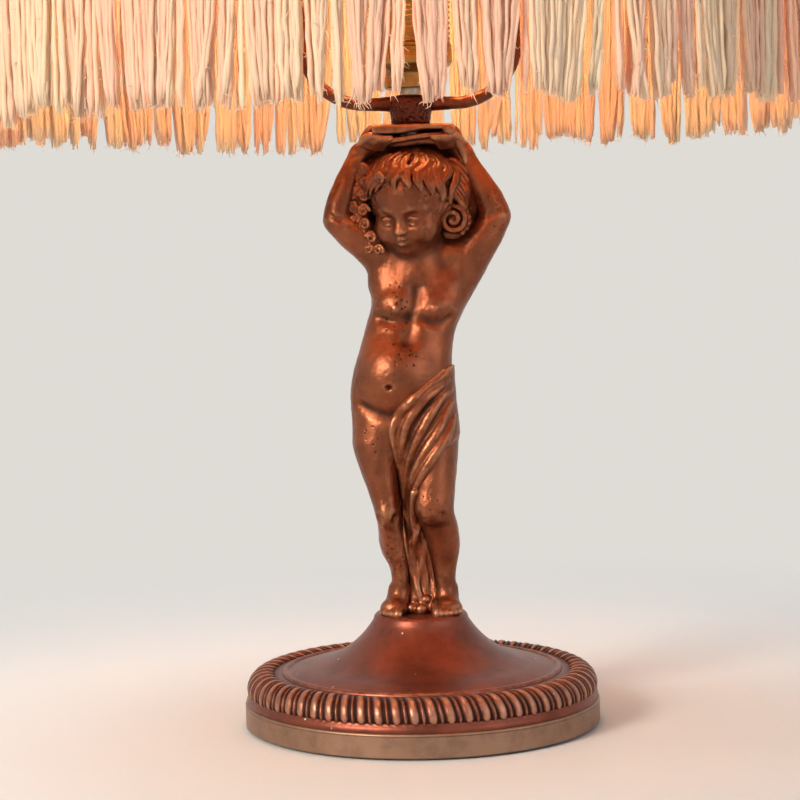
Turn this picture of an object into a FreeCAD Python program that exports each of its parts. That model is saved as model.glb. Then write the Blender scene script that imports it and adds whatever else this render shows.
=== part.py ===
"""Figural table lamp: a cast child figure on a gadrooned base, with a harp, lampholder and shade.

Millimetres, +Z up. The origin is on the table under the centre of the base, and the figure
faces -Y. Every size that drives the model is a cell of the sheet "sizes".
"""
import FreeCAD, Part
import Sketcher
import math
import os

Vector = FreeCAD.Vector
PARTS_FOLDER = "parts"

# alias, size in millimetres (or a count), what it is
SIZES = (
    ("pad_radius", 84.0, "baize pad, radius"),
    ("pad_thick", 2.0, "baize pad, thickness"),
    ("band_radius", 87.5, "foot ring, outer radius"),
    ("band_bottom", 0.8, "foot ring, lower edge above the table"),
    ("band_top", 12.4, "foot ring, upper edge"),
    ("band_wall", 2.2, "foot ring, wall"),
    ("flange_radius", 78.0, "foot ring, inner radius of the seat for the casting"),
    ("ring_centre_radius", 75.5, "gadroon ring, radius of its centre circle"),
    ("ring_centre_height", 18.8, "gadroon ring, height of its centre circle"),
    ("ring_section", 9.0, "gadroon ring, radius of its section"),
    ("lobe_count", 64, "gadroon ring, number of lobes"),
    ("lobe_groove", 1.7, "gadroon ring, radius of the cutter between two lobes"),
    ("lobe_sweep", 7.0, "gadroon ring, degrees that a lobe leans over its length"),
    ("bead_radius", 67.6, "bead inside the lobes, radius of its circle"),
    ("bead_section", 1.4, "bead, radius of its section"),
    ("dish_radius", 58.0, "dish, radius where the trumpet starts to rise"),
    ("dish_height", 29.1, "dish, height there"),
    ("trumpet_arc", 47.6, "trumpet, radius of its hollow outline"),
    ("neck_radius", 23.4, "trumpet, radius under the feet"),
    ("neck_height", 51.6, "trumpet, height of that radius"),
    ("stage_height", 55.0, "top of the base, where the figure stands"),
    ("stage_radius", 20.6, "top of the base, flat radius"),
    ("casting_wall", 3.0, "base casting, wall"),
    ("pipe_radius", 5.0, "all-thread pipe M10x1, outer radius"),
    ("pipe_bore", 3.7, "all-thread pipe, inner radius"),
    ("pipe_low", 2.9, "all-thread pipe, lower end"),
    ("pipe_high", 317.0, "all-thread pipe, upper end"),
    ("pipe_hole", 5.3, "clearance hole for the pipe, radius"),
    ("weight_radius", 84.6, "base weight, radius"),
    ("weight_low", 2.4, "base weight, underside"),
    ("weight_high", 10.2, "base weight, top"),
    ("recess_radius", 13.5, "recess for the nut, radius"),
    ("recess_height", 8.0, "recess for the nut, height of its roof"),
    ("channel_width", 9.0, "channel for the lead, width"),
    ("washer_radius", 12.0, "washer, radius"),
    ("washer_thick", 1.4, "washer, thickness"),
    ("nut_flats", 14.0, "pipe nut, across flats"),
    ("nut_thick", 3.2, "pipe nut, thickness"),
    ("bush_height", 6.0, "inlet bush, height of its axis"),
    ("bush_bore", 2.8, "inlet bush, bore radius"),
    ("bush_shank", 3.8, "inlet bush, shank radius"),
    ("bush_flange", 6.0, "inlet bush, flange radius"),
    ("bush_length", 13.0, "inlet bush, whole length"),
    ("slab_top", 293.4, "folded cloth on the head, top"),
    ("slab_thick", 8.4, "folded cloth on the head, thickness"),
    ("slab_width", 37.4, "folded cloth on the head, width"),
    ("slab_depth", 31.0, "folded cloth on the head, depth"),
    ("hub_radius", 11.1, "harp hub, largest radius"),
    ("hub_foot", 9.6, "harp hub, radius at its foot"),
    ("hub_height", 14.6, "harp hub, height"),
    ("hub_corner", 2.2, "harp hub, radius of its lower corner"),
    ("rod_radius", 3.0, "harp rod, radius"),
    ("rod_low", 303.9, "harp, height of the lower arms"),
    ("rod_straight", 22.0, "harp, where the lower arms start to bend"),
    ("rod_bend", 30.0, "harp, radius of the lower bend"),
    ("harp_shoulder", 489.0, "harp, height where the sides turn in"),
    ("harp_taper", 8.0, "harp, how far the sides lean in"),
    ("harp_top", 519.0, "harp, height of the top bar"),
    ("boss_radius", 6.6, "harp boss, radius"),
    ("boss_half", 5.5, "harp boss, half its height"),
    ("stud_radius", 3.0, "harp stud M6, radius"),
    ("stud_top", 541.0, "harp stud, upper end"),
    ("cap_low", 311.0, "holder cap, underside"),
    ("cap_neck", 12.5, "holder cap, radius of its neck"),
    ("cap_radius", 20.6, "holder cap, largest radius"),
    ("cap_high", 332.0, "holder cap, upper edge"),
    ("sheet_wall", 1.1, "holder metal, wall"),
    ("skirt_radius", 20.0, "holder skirt M40x2.5, radius"),
    ("skirt_high", 368.0, "holder skirt, mouth"),
    ("insert_radius", 17.6, "porcelain insert, radius"),
    ("insert_low", 321.0, "porcelain insert, underside"),
    ("insert_high", 338.0, "porcelain insert, top"),
    ("shell_radius", 14.2, "E27 screw shell, outer radius"),
    ("shell_wall", 0.5, "E27 screw shell, wall"),
    ("shell_high", 364.0, "E27 screw shell, mouth"),
    ("cap_thread", 13.3, "bulb cap E27, radius"),
    ("bulb_low", 339.6, "bulb, contact"),
    ("bulb_cap_high", 368.5, "bulb, top of its metal cap"),
    ("glass_radius", 30.0, "bulb glass, radius"),
    ("glass_centre", 416.0, "bulb glass, height of its centre"),
    ("glass_wall", 0.8, "bulb glass, wall"),
    ("top_ring_radius", 80.0, "shade, radius of the top ring"),
    ("top_ring_height", 525.5, "shade, height of the top ring"),
    ("low_ring_radius", 214.0, "shade, radius of the bottom ring"),
    ("low_ring_height", 394.0, "shade, height of the bottom ring"),
    ("ring_wire", 1.8, "shade rings, wire radius"),
    ("rib_wire", 1.4, "shade ribs, wire radius"),
    ("rib_count", 8, "shade ribs, number"),
    ("rib_arc", 168.0, "shade ribs, radius of their bow"),
    ("cover_thick", 1.2, "silk cover, thickness of the solid"),
    ("spoke_count", 3, "spider, number of arms"),
    ("spoke_width", 6.0, "spider, width of an arm"),
    ("spoke_thick", 2.0, "spider, thickness"),
    ("spider_radius", 13.0, "spider, radius of its washer"),
    ("braid_height", 14.0, "braid, height"),
    ("braid_thick", 1.6, "braid, thickness"),
    ("fringe_low", 289.0, "fringe, lower edge"),
    ("fringe_thick", 9.0, "fringe, thickness"),
    ("finial_radius", 9.5, "finial, radius of its ball"),
    ("finial_high", 556.0, "finial, tip"),
)

doc = FreeCAD.newDocument("figural_table_lamp")
sheet = doc.addObject("Spreadsheet::Sheet", "sizes")
for row, (alias, amount, note) in enumerate(SIZES, start=1):
    sheet.set(f"A{row}", alias)
    sheet.set(f"B{row}", str(amount))
    sheet.setAlias(f"B{row}", alias)
    sheet.set(f"C{row}", note)
doc.recompute()


class Size:
    """A number, and the expression that gives it from the sheet."""

    def __init__(self, number, text):
        self.number = number
        self.text = text

    def __add__(self, other):
        other = as_size(other)
        return Size(self.number + other.number, f"({self.text} + {other.text})")

    def __sub__(self, other):
        other = as_size(other)
        return Size(self.number - other.number, f"({self.text} - {other.text})")

    def __mul__(self, other):
        other = as_size(other)
        return Size(self.number * other.number, f"({self.text} * {other.text})")

    def __truediv__(self, other):
        other = as_size(other)
        return Size(self.number / other.number, f"({self.text} / {other.text})")


def as_size(amount):
    """A plain number as a Size; a Size is left as it is."""
    if isinstance(amount, Size):
        return amount
    return Size(float(amount), repr(float(amount)))


def cell(alias):
    """The size in the sheet's cell of that name."""
    return Size(float(sheet.get(alias)), f"sizes.{alias}")


def number(alias):
    """The same cell as a plain number, for shapes that are set in code."""
    return float(sheet.get(alias))


def bind(target, prop, amount):
    """Bind a property of an object to a size."""
    target.setExpression(prop, as_size(amount).text)


# ---------------------------------------------------------------- sketches and bodies

SUBPARTS = []


def subpart(feature, label):
    """Name an object as one sub-part of the lamp."""
    feature.Label = label
    SUBPARTS.append(feature)
    return feature


def new_body(label):
    return subpart(doc.addObject("PartDesign::Body", f"{label}_body"), label)


def origin_plane(body, role):
    for plane in body.Origin.OriginFeatures:
        if plane.Role == role:
            return plane
    raise ValueError(role)


def new_sketch(body, name, role, offset=None):
    """A sketch on one of the body's own origin planes, moved along its normal by offset."""
    sketch = body.newObject("Sketcher::SketchObject", name)
    sketch.AttachmentSupport = [(origin_plane(body, role), "")]
    sketch.MapMode = "FlatFace"
    if offset is not None:
        bind(sketch, "AttachmentOffset.Base.z", offset)
    return sketch


def pin_point(sketch, geometry, end, along, amount):
    """Fix one coordinate of a point by a bound dimension, or on the axis where it is zero."""
    if abs(amount.number) < 1e-9:
        axis = -2 if along == "X" else -1
        sketch.addConstraint(Sketcher.Constraint("PointOnObject", geometry, end, axis))
        return
    fixed = Sketcher.Constraint(f"Distance{along}", -1, 1, geometry, end, amount.number)
    index = sketch.addConstraint(fixed)
    sketch.setExpression(f"Constraints[{index}]", amount.text)


def arc_between(start, end, radius):
    """An arc from start to end: a positive radius turns left on the way, a negative one right."""
    chord = end.sub(start)
    half = chord.Length / 2.0
    height = math.sqrt(max(radius * radius - half * half, 0.0))
    left = Vector(-chord.y, chord.x, 0).normalize()
    side = 1.0 if radius > 0 else -1.0
    centre = start.add(chord * 0.5).add(left * (side * height))
    first, last = (start, end) if radius > 0 else (end, start)
    circle = Part.Circle(centre, Vector(0, 0, 1), abs(radius))
    first_angle = math.atan2(first.y - centre.y, first.x - centre.x)
    last_angle = math.atan2(last.y - centre.y, last.x - centre.x)
    return Part.ArcOfCircle(circle, first_angle, last_angle)


def draw_outline(sketch, corners):
    """A closed outline. A corner is (x, y), or (x, y, radius) where an arc runs to the next."""
    places = [(as_size(corner[0]), as_size(corner[1])) for corner in corners]
    count = len(corners)
    ends = []
    for index, corner in enumerate(corners):
        x, y = places[index]
        next_x, next_y = places[(index + 1) % count]
        start = Vector(x.number, y.number, 0)
        end = Vector(next_x.number, next_y.number, 0)
        if len(corner) == 2:
            geometry = sketch.addGeometry(Part.LineSegment(start, end), False)
            ends.append((geometry, 1, 2))
            continue
        radius = as_size(corner[2])
        geometry = sketch.addGeometry(arc_between(start, end, radius.number), False)
        ends.append((geometry, 1, 2) if radius.number > 0 else (geometry, 2, 1))
        length = radius if radius.number > 0 else radius * -1
        fixed = Sketcher.Constraint("Radius", geometry, length.number)
        sketch.setExpression(f"Constraints[{sketch.addConstraint(fixed)}]", length.text)
    for index, (geometry, first, last) in enumerate(ends):
        following, start, _ = ends[(index + 1) % count]
        sketch.addConstraint(Sketcher.Constraint("Coincident", geometry, last, following, start))
        pin_point(sketch, geometry, first, "X", places[index][0])
        pin_point(sketch, geometry, first, "Y", places[index][1])


def draw_circle(sketch, radius, x=0.0, y=0.0):
    """A circle whose radius and centre are bound."""
    radius, x, y = as_size(radius), as_size(x), as_size(y)
    centre = Vector(x.number, y.number, 0)
    circle = sketch.addGeometry(Part.Circle(centre, Vector(0, 0, 1), radius.number), False)
    fixed = sketch.addConstraint(Sketcher.Constraint("Radius", circle, radius.number))
    sketch.setExpression(f"Constraints[{fixed}]", radius.text)
    pin_point(sketch, circle, 3, "X", x)
    pin_point(sketch, circle, 3, "Y", y)


def turned(label, corners):
    """A body turned about the Z axis from an outline of (radius, height) corners."""
    body = new_body(label)
    sketch = new_sketch(body, f"{label}_outline", "XZ_Plane")
    draw_outline(sketch, corners)
    turning = body.newObject("PartDesign::Revolution", f"{label}_turning")
    turning.Profile = sketch
    turning.ReferenceAxis = (sketch, ["V_Axis"])
    turning.Angle = 360
    sketch.Visibility = False
    return body


def drilled(body, name, role, radius, x, y, both_ways=False, reverse=False):
    """Drill a round hole square to an origin plane, to one side of it or to both."""
    sketch = new_sketch(body, f"{name}_circle", role)
    draw_circle(sketch, radius, x, y)
    doc.recompute()
    before = body.Shape.Volume
    hole = body.newObject("PartDesign::Pocket", name)
    hole.Profile = sketch
    hole.Type = "ThroughAll"
    hole.Midplane = both_ways
    hole.Reversed = reverse
    doc.recompute()
    if not body.Shape.Volume < before - 1e-3:
        raise RuntimeError(f"{name} cuts nothing")
    return hole


def bound(kind, name, **sizes):
    """A Part primitive with its properties bound to sizes."""
    feature = doc.addObject(kind, name)
    for prop, amount in sizes.items():
        bind(feature, prop.replace("_", "."), amount)
    return feature


def cut(label, base, tool):
    feature = subpart(doc.addObject("Part::Cut", label), label)
    feature.Base = base
    feature.Tool = tool
    return feature


def made(label, shape):
    """A sub-part whose shape is set in code."""
    feature = doc.addObject("Part::Feature", label)
    feature.Shape = shape
    return subpart(feature, label)



# ---------------------------------------------------------------- base

def base_pad():
    pad = bound("Part::Cylinder", "pad_disc", Radius=cell("pad_radius"), Height=cell("pad_thick"))
    return subpart(pad, "baize_pad")


def foot_ring():
    """The brass band that the casting stands on, with the hole for the lead at the back."""
    low, high, outside = cell("band_bottom"), cell("band_top"), cell("band_radius")
    inside = outside - cell("band_wall")
    body = turned("foot_ring", (
        (inside, low),
        (outside - 0.6, low),
        (outside, low + 0.8),
        (outside, high - 1.0, 1.0),
        (outside - 1.0, high),
        (cell("flange_radius"), high),
        (cell("flange_radius"), high - 2),
        (inside, high - 2),
    ))
    drilled(body, "ring_inlet", "XZ_Plane", cell("bush_shank"), 0, cell("bush_height"))
    return body


def groove_cutters():
    """One bent round cutter for each gap between two lobes of the gadroon ring."""
    centre_radius, centre_height = number("ring_centre_radius"), number("ring_centre_height")
    section, count = number("ring_section"), int(number("lobe_count"))
    sweep = math.radians(number("lobe_sweep"))
    clear = section + 0.5 * number("lobe_groove")

    def place(turn, climb):
        """A point just off the ring's section, climb degrees up from its outer side."""
        radius = centre_radius + clear * math.cos(math.radians(climb))
        height = centre_height + clear * math.sin(math.radians(climb))
        return Vector(radius * math.cos(turn), radius * math.sin(turn), height)

    first, middle, last = place(sweep, 118), place(0.42 * sweep, 62), place(0, 2)
    path = Part.Wire([Part.Arc(first, middle, last).toShape()])
    tangent = path.Edges[0].tangentAt(path.Edges[0].FirstParameter)
    circle = Part.Circle(first, tangent, number("lobe_groove"))
    cutter = path.makePipeShell([Part.Wire([circle.toShape()])], True, True)
    cutters = []
    for index in range(count):
        turned_cutter = cutter.copy()
        turned_cutter.rotate(Vector(), Vector(0, 0, 1), 360.0 * index / count)
        cutters.append(turned_cutter)
    return Part.makeCompound(cutters)


def base_casting():
    """The trumpet, dish, bead and gadroon ring: one hollow casting, open below."""
    wall = cell("casting_wall")
    ring_radius, ring_height = cell("ring_centre_radius"), cell("ring_centre_height")
    ring, bead = cell("ring_section"), cell("bead_radius")
    top = cell("stage_height")
    blank = turned("casting_blank", (
        (cell("band_radius") - 0.9, cell("band_top")),
        (ring_radius + ring - 0.2, ring_height - 1.8, ring),
        (ring_radius - 5.2, ring_height + 7.3),
        (bead + 1.4, ring_height + 7.5, cell("bead_section")),
        (bead - 1.2, ring_height + 7.9),
        (cell("dish_radius"), cell("dish_height"), cell("trumpet_arc") * -1),
        (cell("neck_radius"), cell("neck_height"), 3.6),
        (cell("stage_radius"), top),
        (cell("pipe_hole"), top),
        (cell("pipe_hole"), top - wall),
        (cell("stage_radius") - 1, top - wall),
        (cell("neck_radius") + 1.6, top - 10, 44),
        (cell("dish_radius") - 4, cell("dish_height") - wall),
        (bead, ring_height + 4.4),
        (ring_radius, ring_height + 5.2, -7),
        (ring_radius + 6.4, ring_height - 2),
        (ring_radius + 7.4, cell("band_top")),
    ))
    SUBPARTS.remove(blank)
    cutters = doc.addObject("Part::Feature", "gadroon_cutters")
    cutters.Shape = groove_cutters()
    return cut("base_casting", blank, cutters)


def base_weight():
    """A cast-iron disc with a recess for the nut and a channel for the lead."""
    low, high = cell("weight_low"), cell("weight_high")
    body = turned("base_weight", (
        (cell("recess_radius"), low),
        (cell("weight_radius"), low),
        (cell("weight_radius"), high),
        (cell("pipe_hole"), high),
        (cell("pipe_hole"), cell("recess_height")),
        (cell("recess_radius"), cell("recess_height")),
    ))
    sketch = new_sketch(body, "channel_outline", "XY_Plane", low)
    half = cell("channel_width") / 2
    start, end = cell("recess_radius") - 1, cell("weight_radius") + 2
    draw_outline(sketch, (
        (half * -1, start),
        (half, start),
        (half, end),
        (half * -1, end),
    ))
    doc.recompute()
    before = body.Shape.Volume
    channel = body.newObject("PartDesign::Pocket", "lead_channel")
    channel.Profile = sketch
    channel.Reversed = True
    bind(channel, "Length", high - low)
    doc.recompute()
    if not body.Shape.Volume < before - 1.0:
        raise RuntimeError("the lead's channel cuts nothing")
    return body


def base_fasteners():
    washer_low = cell("recess_height") - cell("washer_thick")
    turned("pipe_washer", (
        (cell("pipe_hole"), washer_low),
        (cell("washer_radius"), washer_low),
        (cell("washer_radius"), cell("recess_height")),
        (cell("pipe_hole"), cell("recess_height")),
    ))
    nut_low = washer_low - cell("nut_thick")
    corners = cell("nut_flats") / math.sqrt(3.0)
    prism = bound("Part::Prism", "nut_blank", Circumradius=corners, Height=cell("nut_thick"))
    prism.Polygon = 6
    bind(prism, "Placement.Base.z", nut_low)
    hole = bound("Part::Cylinder", "nut_hole", Radius=cell("pipe_radius"), Height=20)
    cut("bottom_nut", prism, hole)
    turned("lamp_pipe", (
        (cell("pipe_bore"), cell("pipe_low")),
        (cell("pipe_radius"), cell("pipe_low")),
        (cell("pipe_radius"), cell("pipe_high")),
        (cell("pipe_bore"), cell("pipe_high")),
    ))


def cord_bush():
    """The inlet bush: a flanged sleeve, pushed in from behind and square to the band."""
    shank, bore, flange = cell("bush_shank"), cell("bush_bore"), cell("bush_flange")
    length = cell("bush_length")
    bush = turned("cord_bush", (
        (bore, 0),
        (shank, 0),
        (shank, length - 1.6),
        (flange, length - 1.6),
        (flange, length - 0.7, 0.7),
        (flange - 0.7, length),
        (bore + 0.6, length),
        (bore, length - 0.6),
    ))
    bush.Placement.Rotation = FreeCAD.Rotation(Vector(1, 0, 0), -90)
    bind(bush, "Placement.Base.y", cell("band_radius") + 1.6 - length)
    bind(bush, "Placement.Base.z", cell("bush_height"))
    return bush


# ---------------------------------------------------------------- figure

def ring(centre, normal, side, half_width, half_depth):
    """A closed smooth ring: half_width lies along side, half_depth square to it."""
    along = Vector(normal).normalize()
    wide = (side - along * side.dot(along)).normalize()
    deep = along.cross(wide)
    steps = 12
    points = []
    for step in range(steps):
        turn = 2 * math.pi * step / steps
        points.append(centre + wide * (half_width * math.cos(turn))
                      + deep * (half_depth * math.sin(turn)))
    curve = Part.BSplineCurve()
    curve.interpolate(Points=points, PeriodicFlag=True)
    return Part.Wire([curve.toShape()])


def trunk(sections):
    """A smooth solid through level rings: (height, x, y, half width, half depth)."""
    wires = [ring(Vector(x, y, height), Vector(0, 0, 1), Vector(1, 0, 0), wide, deep)
             for height, x, y, wide, deep in sections]
    return Part.makeLoft(wires, True, False)


def limb(sections, side):
    """A smooth solid along a bent line: (x, y, z, half width along side, half depth)."""
    centres = [Vector(*section[:3]) for section in sections]
    wires = []
    for index, section in enumerate(sections):
        before = centres[max(index - 1, 0)]
        after = centres[min(index + 1, len(centres) - 1)]
        wires.append(ring(centres[index], after - before, side, section[3], section[4]))
    return Part.makeLoft(wires, True, False)


def egg(centre, half_sizes, tip=0.0, roll=0.0):
    """An ellipsoid, tipped forward and rolled sideways by degrees about its own centre."""
    stretch = FreeCAD.Matrix()
    stretch.scale(Vector(*half_sizes))
    solid = Part.makeSphere(1.0).transformGeometry(stretch)
    solid.rotate(Vector(), Vector(1, 0, 0), tip)
    solid.rotate(Vector(), Vector(0, 1, 0), roll)
    solid.translate(Vector(*centre))
    return solid


ACROSS = Vector(0, 1, 0)
UPRIGHT = Vector(0, 0, 1)


def torso():
    return trunk((
        (134, -5.5, -5, 20, 13),
        (146, -6.4, -5, 24.6, 17),
        (158, -6.9, -5, 25.8, 18.5),
        (170, -6.8, -6, 25, 20),
        (182, -5.2, -6, 23.4, 19.6),
        (194, -2.6, -4, 22.6, 17.4),
        (206, 0.2, -3, 21.8, 16),
        (217, 1.6, -2, 20.6, 14.6),
        (226, 2, -1.6, 16.5, 12.6),
        (236, 1.5, -3, 10.5, 10),
    ))


def left_leg():
    return trunk((
        (146, -18, -5, 13.2, 15),
        (136, -19.8, -6, 11.4, 13.6),
        (125, -18.6, -7.6, 9.2, 11),
        (114, -16.6, -9, 7.2, 9),
        (105, -15.2, -9.2, 6.2, 7.6),
        (95, -13.2, -6.8, 5.8, 7),
        (85, -11.3, -4.6, 5.4, 6.8),
        (75, -9.8, -3.6, 4.5, 5.4),
        (67, -9.8, -3.4, 4.2, 5),
        (58, -10, -3.2, 4.6, 5.6),
    ))


def right_leg():
    return trunk((
        (146, 6.4, -5, 13.4, 16),
        (136, 7.6, -7.4, 12.2, 14.6),
        (125, 7.9, -10, 11.4, 12.8),
        (114, 6.9, -12.6, 11, 11),
        (105, 7.2, -12.4, 9.9, 9.2),
        (96, 10.1, -8, 9.3, 8.4),
        (86, 12, -5, 7.6, 7.8),
        (77, 12.2, -3.8, 5.7, 6),
        (70, 12.4, -3.6, 5, 5.4),
        (58, 12.8, -3.4, 5.2, 5.8),
    ))


def foot(heel, ball, toe, width):
    """A bare foot from its heel to its toes, standing on the top of the base."""
    floor = number("stage_height")
    sections = (
        (heel[0], heel[1], floor + 3, 2.2, 2.0),
        (0.8 * heel[0] + 0.2 * ball[0], 0.8 * heel[1] + 0.2 * ball[1], floor + 4, 4.4, 4.8),
        (0.4 * heel[0] + 0.6 * ball[0], 0.4 * heel[1] + 0.6 * ball[1], floor + 4, 0.9 * width, 5),
        (ball[0], ball[1], floor + 2.4, width, 3.6),
        (0.3 * ball[0] + 0.7 * toe[0], 0.3 * ball[1] + 0.7 * toe[1], floor + 1.8, 0.94 * width, 2.6),
        (toe[0], toe[1], floor + 1.3, 0.62 * width, 1.3),
    )
    return limb(sections, Vector(1, 0, 0))


def left_arm():
    upper = limb((
        (-4, 0, 212, 9, 9),
        (-14, -0.6, 224, 8.4, 8.4),
        (-24, -2, 233, 7.2, 7.4),
        (-33, -3.6, 241.4, 6.2, 6.4),
        (-38.6, -4, 248, 4.2, 4.2),
    ), ACROSS)
    fore = limb((
        (-36.4, -4, 241.6, 4, 4),
        (-38.6, -4, 247.4, 5.1, 4.9),
        (-37.2, -4, 254, 5.2, 4.8),
        (-34, -3.4, 263.4, 4.9, 4.6),
        (-29.4, -2.4, 273.6, 4.4, 4.2),
        (-25, -2, 281, 4.6, 4),
        (-19, -2, 286.6, 5.2, 3.6),
        (-12, -2, 288.4, 4.2, 2.6),
    ), ACROSS)
    return [upper, fore, egg((-38.2, -4, 247.2), (5.2, 5, 5.4))]


def right_arm():
    upper = limb((
        (8, 0, 194, 8, 8),
        (15.4, 0, 204, 9.4, 9.2),
        (24, -0.6, 216, 8.8, 8.4),
        (32, -2, 229, 7.6, 7.2),
        (38.8, -3.6, 240.6, 6.6, 6.2),
        (42.6, -4, 249, 4.4, 4.2),
    ), ACROSS)
    fore = limb((
        (42.8, -4, 242.6, 4, 4),
        (42.4, -4, 248.6, 5.4, 5),
        (39.4, -4, 256, 5.4, 5),
        (34.6, -3.2, 264, 5.2, 4.8),
        (29, -2.6, 272, 5.0, 4.8),
        (24, -2, 280.4, 5.0, 4.4),
        (18.8, -2, 287, 5.2, 3.6),
        (12, -2, 289, 4.2, 2.6),
    ), ACROSS)
    return [upper, fore, egg((42, -4, 247.6), (5.6, 5.2, 5.6))]


def head():
    """A child's head of plain, calm proportions: skull, face, cheeks, nose and chin."""
    return [
        egg((0.4, -8.6, 258), (19.6, 20, 21.6)),
        egg((-1.2, -13, 246.4), (17, 16, 17.4), tip=14),
        egg((-8.6, -22.6, 242), (6.6, 5.6, 6.6)),
        egg((5, -23, 242), (6.4, 5.4, 6.6)),
        egg((-2, -28.6, 245.4), (2.6, 3.4, 3.2)),
        egg((-2.2, -24.6, 234.4), (5.2, 4.4, 4)),
        egg((-2, -24.6, 256.6), (12.6, 4.6, 6.6)),
    ]


def hair():
    """The cap of hair, its parted locks over the brow, and the curls at each side."""
    cap = egg((0.6, -5.4, 262), (23.4, 21, 22.4))
    locks = []
    for start, end, thick in (((-1, -22, 277), (-19, -25, 262), 4.6),
                              ((2, -23, 276), (-9, -28.4, 266), 4.0),
                              ((6, -22, 276), (18, -24, 262), 4.8),
                              ((3, -23.4, 275), (9, -28, 266), 3.8)):
        middle = [(a + b) / 2 for a, b in zip(start, end)]
        locks.append(limb((
            (*start, 0.5 * thick, 0.5 * thick),
            (middle[0], middle[1] - 2.4, middle[2] + 1.6, thick, thick),
            (*end, 0.6 * thick, 0.6 * thick),
        ), ACROSS))
    curls = [
        egg((20.2, -14, 248.4), (8.6, 9, 9)),
        egg((23, -6, 256), (6, 11, 10)),
        egg((22.4, -9, 241.6), (6.2, 8, 5)),
        egg((-23, -12, 256), (5.6, 8.6, 6.4)),
        egg((-24.6, -12.6, 248), (5.2, 7.6, 5.8)),
        egg((-22, -13, 240.4), (5.4, 7.4, 5.4)),
        egg((-17.4, -15, 234.6), (4.6, 6, 4.2)),
    ]
    return [cap] + locks + curls


def drape():
    """The cloth round the right hip: its body, five folds to the gather, and its tail."""
    cloth = trunk((
        (182, 12.6, -5, 6.6, 13),
        (172, 9, -6, 10.8, 17),
        (158, 4.6, -6.6, 15.4, 18.8),
        (144, 5, -7.6, 15.6, 18),
        (132, 7, -9, 13, 15.4),
        (122, 8.4, -9.6, 10.8, 12.6),
    ))
    folds = []
    for hip, middle, thick in (((17, -13, 180), (3.6, -26.4, 166), 2.8),
                               ((18, -14, 170), (6.6, -26.8, 156), 3.0),
                               ((18.4, -14, 159), (8.4, -26.6, 146), 3.0),
                               ((18.6, -13, 148), (9.4, -25.4, 136.6), 2.9),
                               ((18.8, -12, 137), (9.6, -23.8, 127.6), 2.6)):
        end = (-8.4 + 0.16 * (180 - hip[2]), -21, hip[2] - 31)
        folds.append(limb((
            (*hip, 0.6 * thick, 0.6 * thick),
            (*middle, thick, thick),
            (*end, 0.7 * thick, 0.7 * thick),
        ), ACROSS))
    tail = trunk((
        (152, -8, -8, 6, 13),
        (140, -7.4, -7, 5.4, 12),
        (126, -4, -4.6, 6.4, 10.6),
        (110, -0.6, -1, 7.4, 8.6),
        (90, 0, 0, 7.4, 7.8),
        (72, 0.8, 0, 7.2, 7.6),
        (54, 1.4, 0, 8.4, 8.6),
    ))
    return [cloth, tail] + folds


def folded_cloth():
    """The folded cloth on the head: two layers, the upper one flat for the hub."""
    top, thick = number("slab_top"), number("slab_thick")
    width, depth = number("slab_width"), number("slab_depth")
    upper = Part.makeBox(width, depth, 0.46 * thick,
                         Vector(-width / 2, -depth / 2 - 1, top - 0.46 * thick))
    upper = upper.makeFillet(1.6, upper.Edges)
    lower = Part.makeBox(width - 3, depth - 2, 0.62 * thick,
                         Vector(-width / 2 + 1, -depth / 2, top - thick))
    lower = lower.makeFillet(2.2, lower.Edges)
    return [upper, lower]


def figure_casting():
    """One hollow-standing casting; the pipe runs up through it from foot to head."""
    stage = number("stage_height")
    pieces = [torso(), left_leg(), right_leg()]
    pieces += [foot((-9, 3), (-13.4, -8.4), (-17.2, -15.4), 5.0)]
    pieces += [foot((12, 3), (14, -10), (15.2, -18), 6.0)]
    pieces += left_arm() + right_arm() + head() + hair() + drape() + folded_cloth()
    solid = pieces[0].multiFuse(pieces[1:])
    keep = Part.makeBox(200, 200, number("slab_top") - stage, Vector(-100, -100, stage))
    solid = solid.common(keep)
    pipe_way = Part.makeCylinder(number("pipe_hole"), 300, Vector(0, 0, stage - 10))
    return made("figure_casting", solid.cut(pipe_way))


# ---------------------------------------------------------------- harp

def harp_path():
    """The rod's centre line, from inside the hub up one side, over and down the other."""
    low, top = number("rod_low"), number("harp_top")
    straight, bend = number("rod_straight"), number("rod_bend")
    shoulder, taper = number("harp_shoulder"), number("harp_taper")
    start = number("hub_radius") - 4.6
    wide = straight + bend
    side_low = low + bend
    rise = shoulder - side_low
    side_radius = (taper * taper + rise * rise) / (2 * taper)
    lean = math.asin(rise / side_radius)
    top_radius = (top - shoulder) / (1 - math.sin(lean))
    bar = wide - taper - top_radius * math.cos(lean)

    def on_arc(centre_x, centre_z, radius, turn):
        return Vector(centre_x + radius * math.cos(turn), 0, centre_z + radius * math.sin(turn))

    right = [
        Part.LineSegment(Vector(start, 0, low), Vector(straight, 0, low)),
        Part.Arc(Vector(straight, 0, low),
                 on_arc(straight, side_low, bend, -math.pi / 4),
                 Vector(wide, 0, side_low)),
        Part.Arc(Vector(wide, 0, side_low),
                 on_arc(wide - side_radius, side_low, side_radius, lean / 2),
                 Vector(wide - taper, 0, shoulder)),
        Part.Arc(Vector(wide - taper, 0, shoulder),
                 on_arc(bar, top - top_radius, top_radius, (lean + math.pi / 2) / 2),
                 Vector(bar, 0, top)),
    ]
    return right, bar


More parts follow.
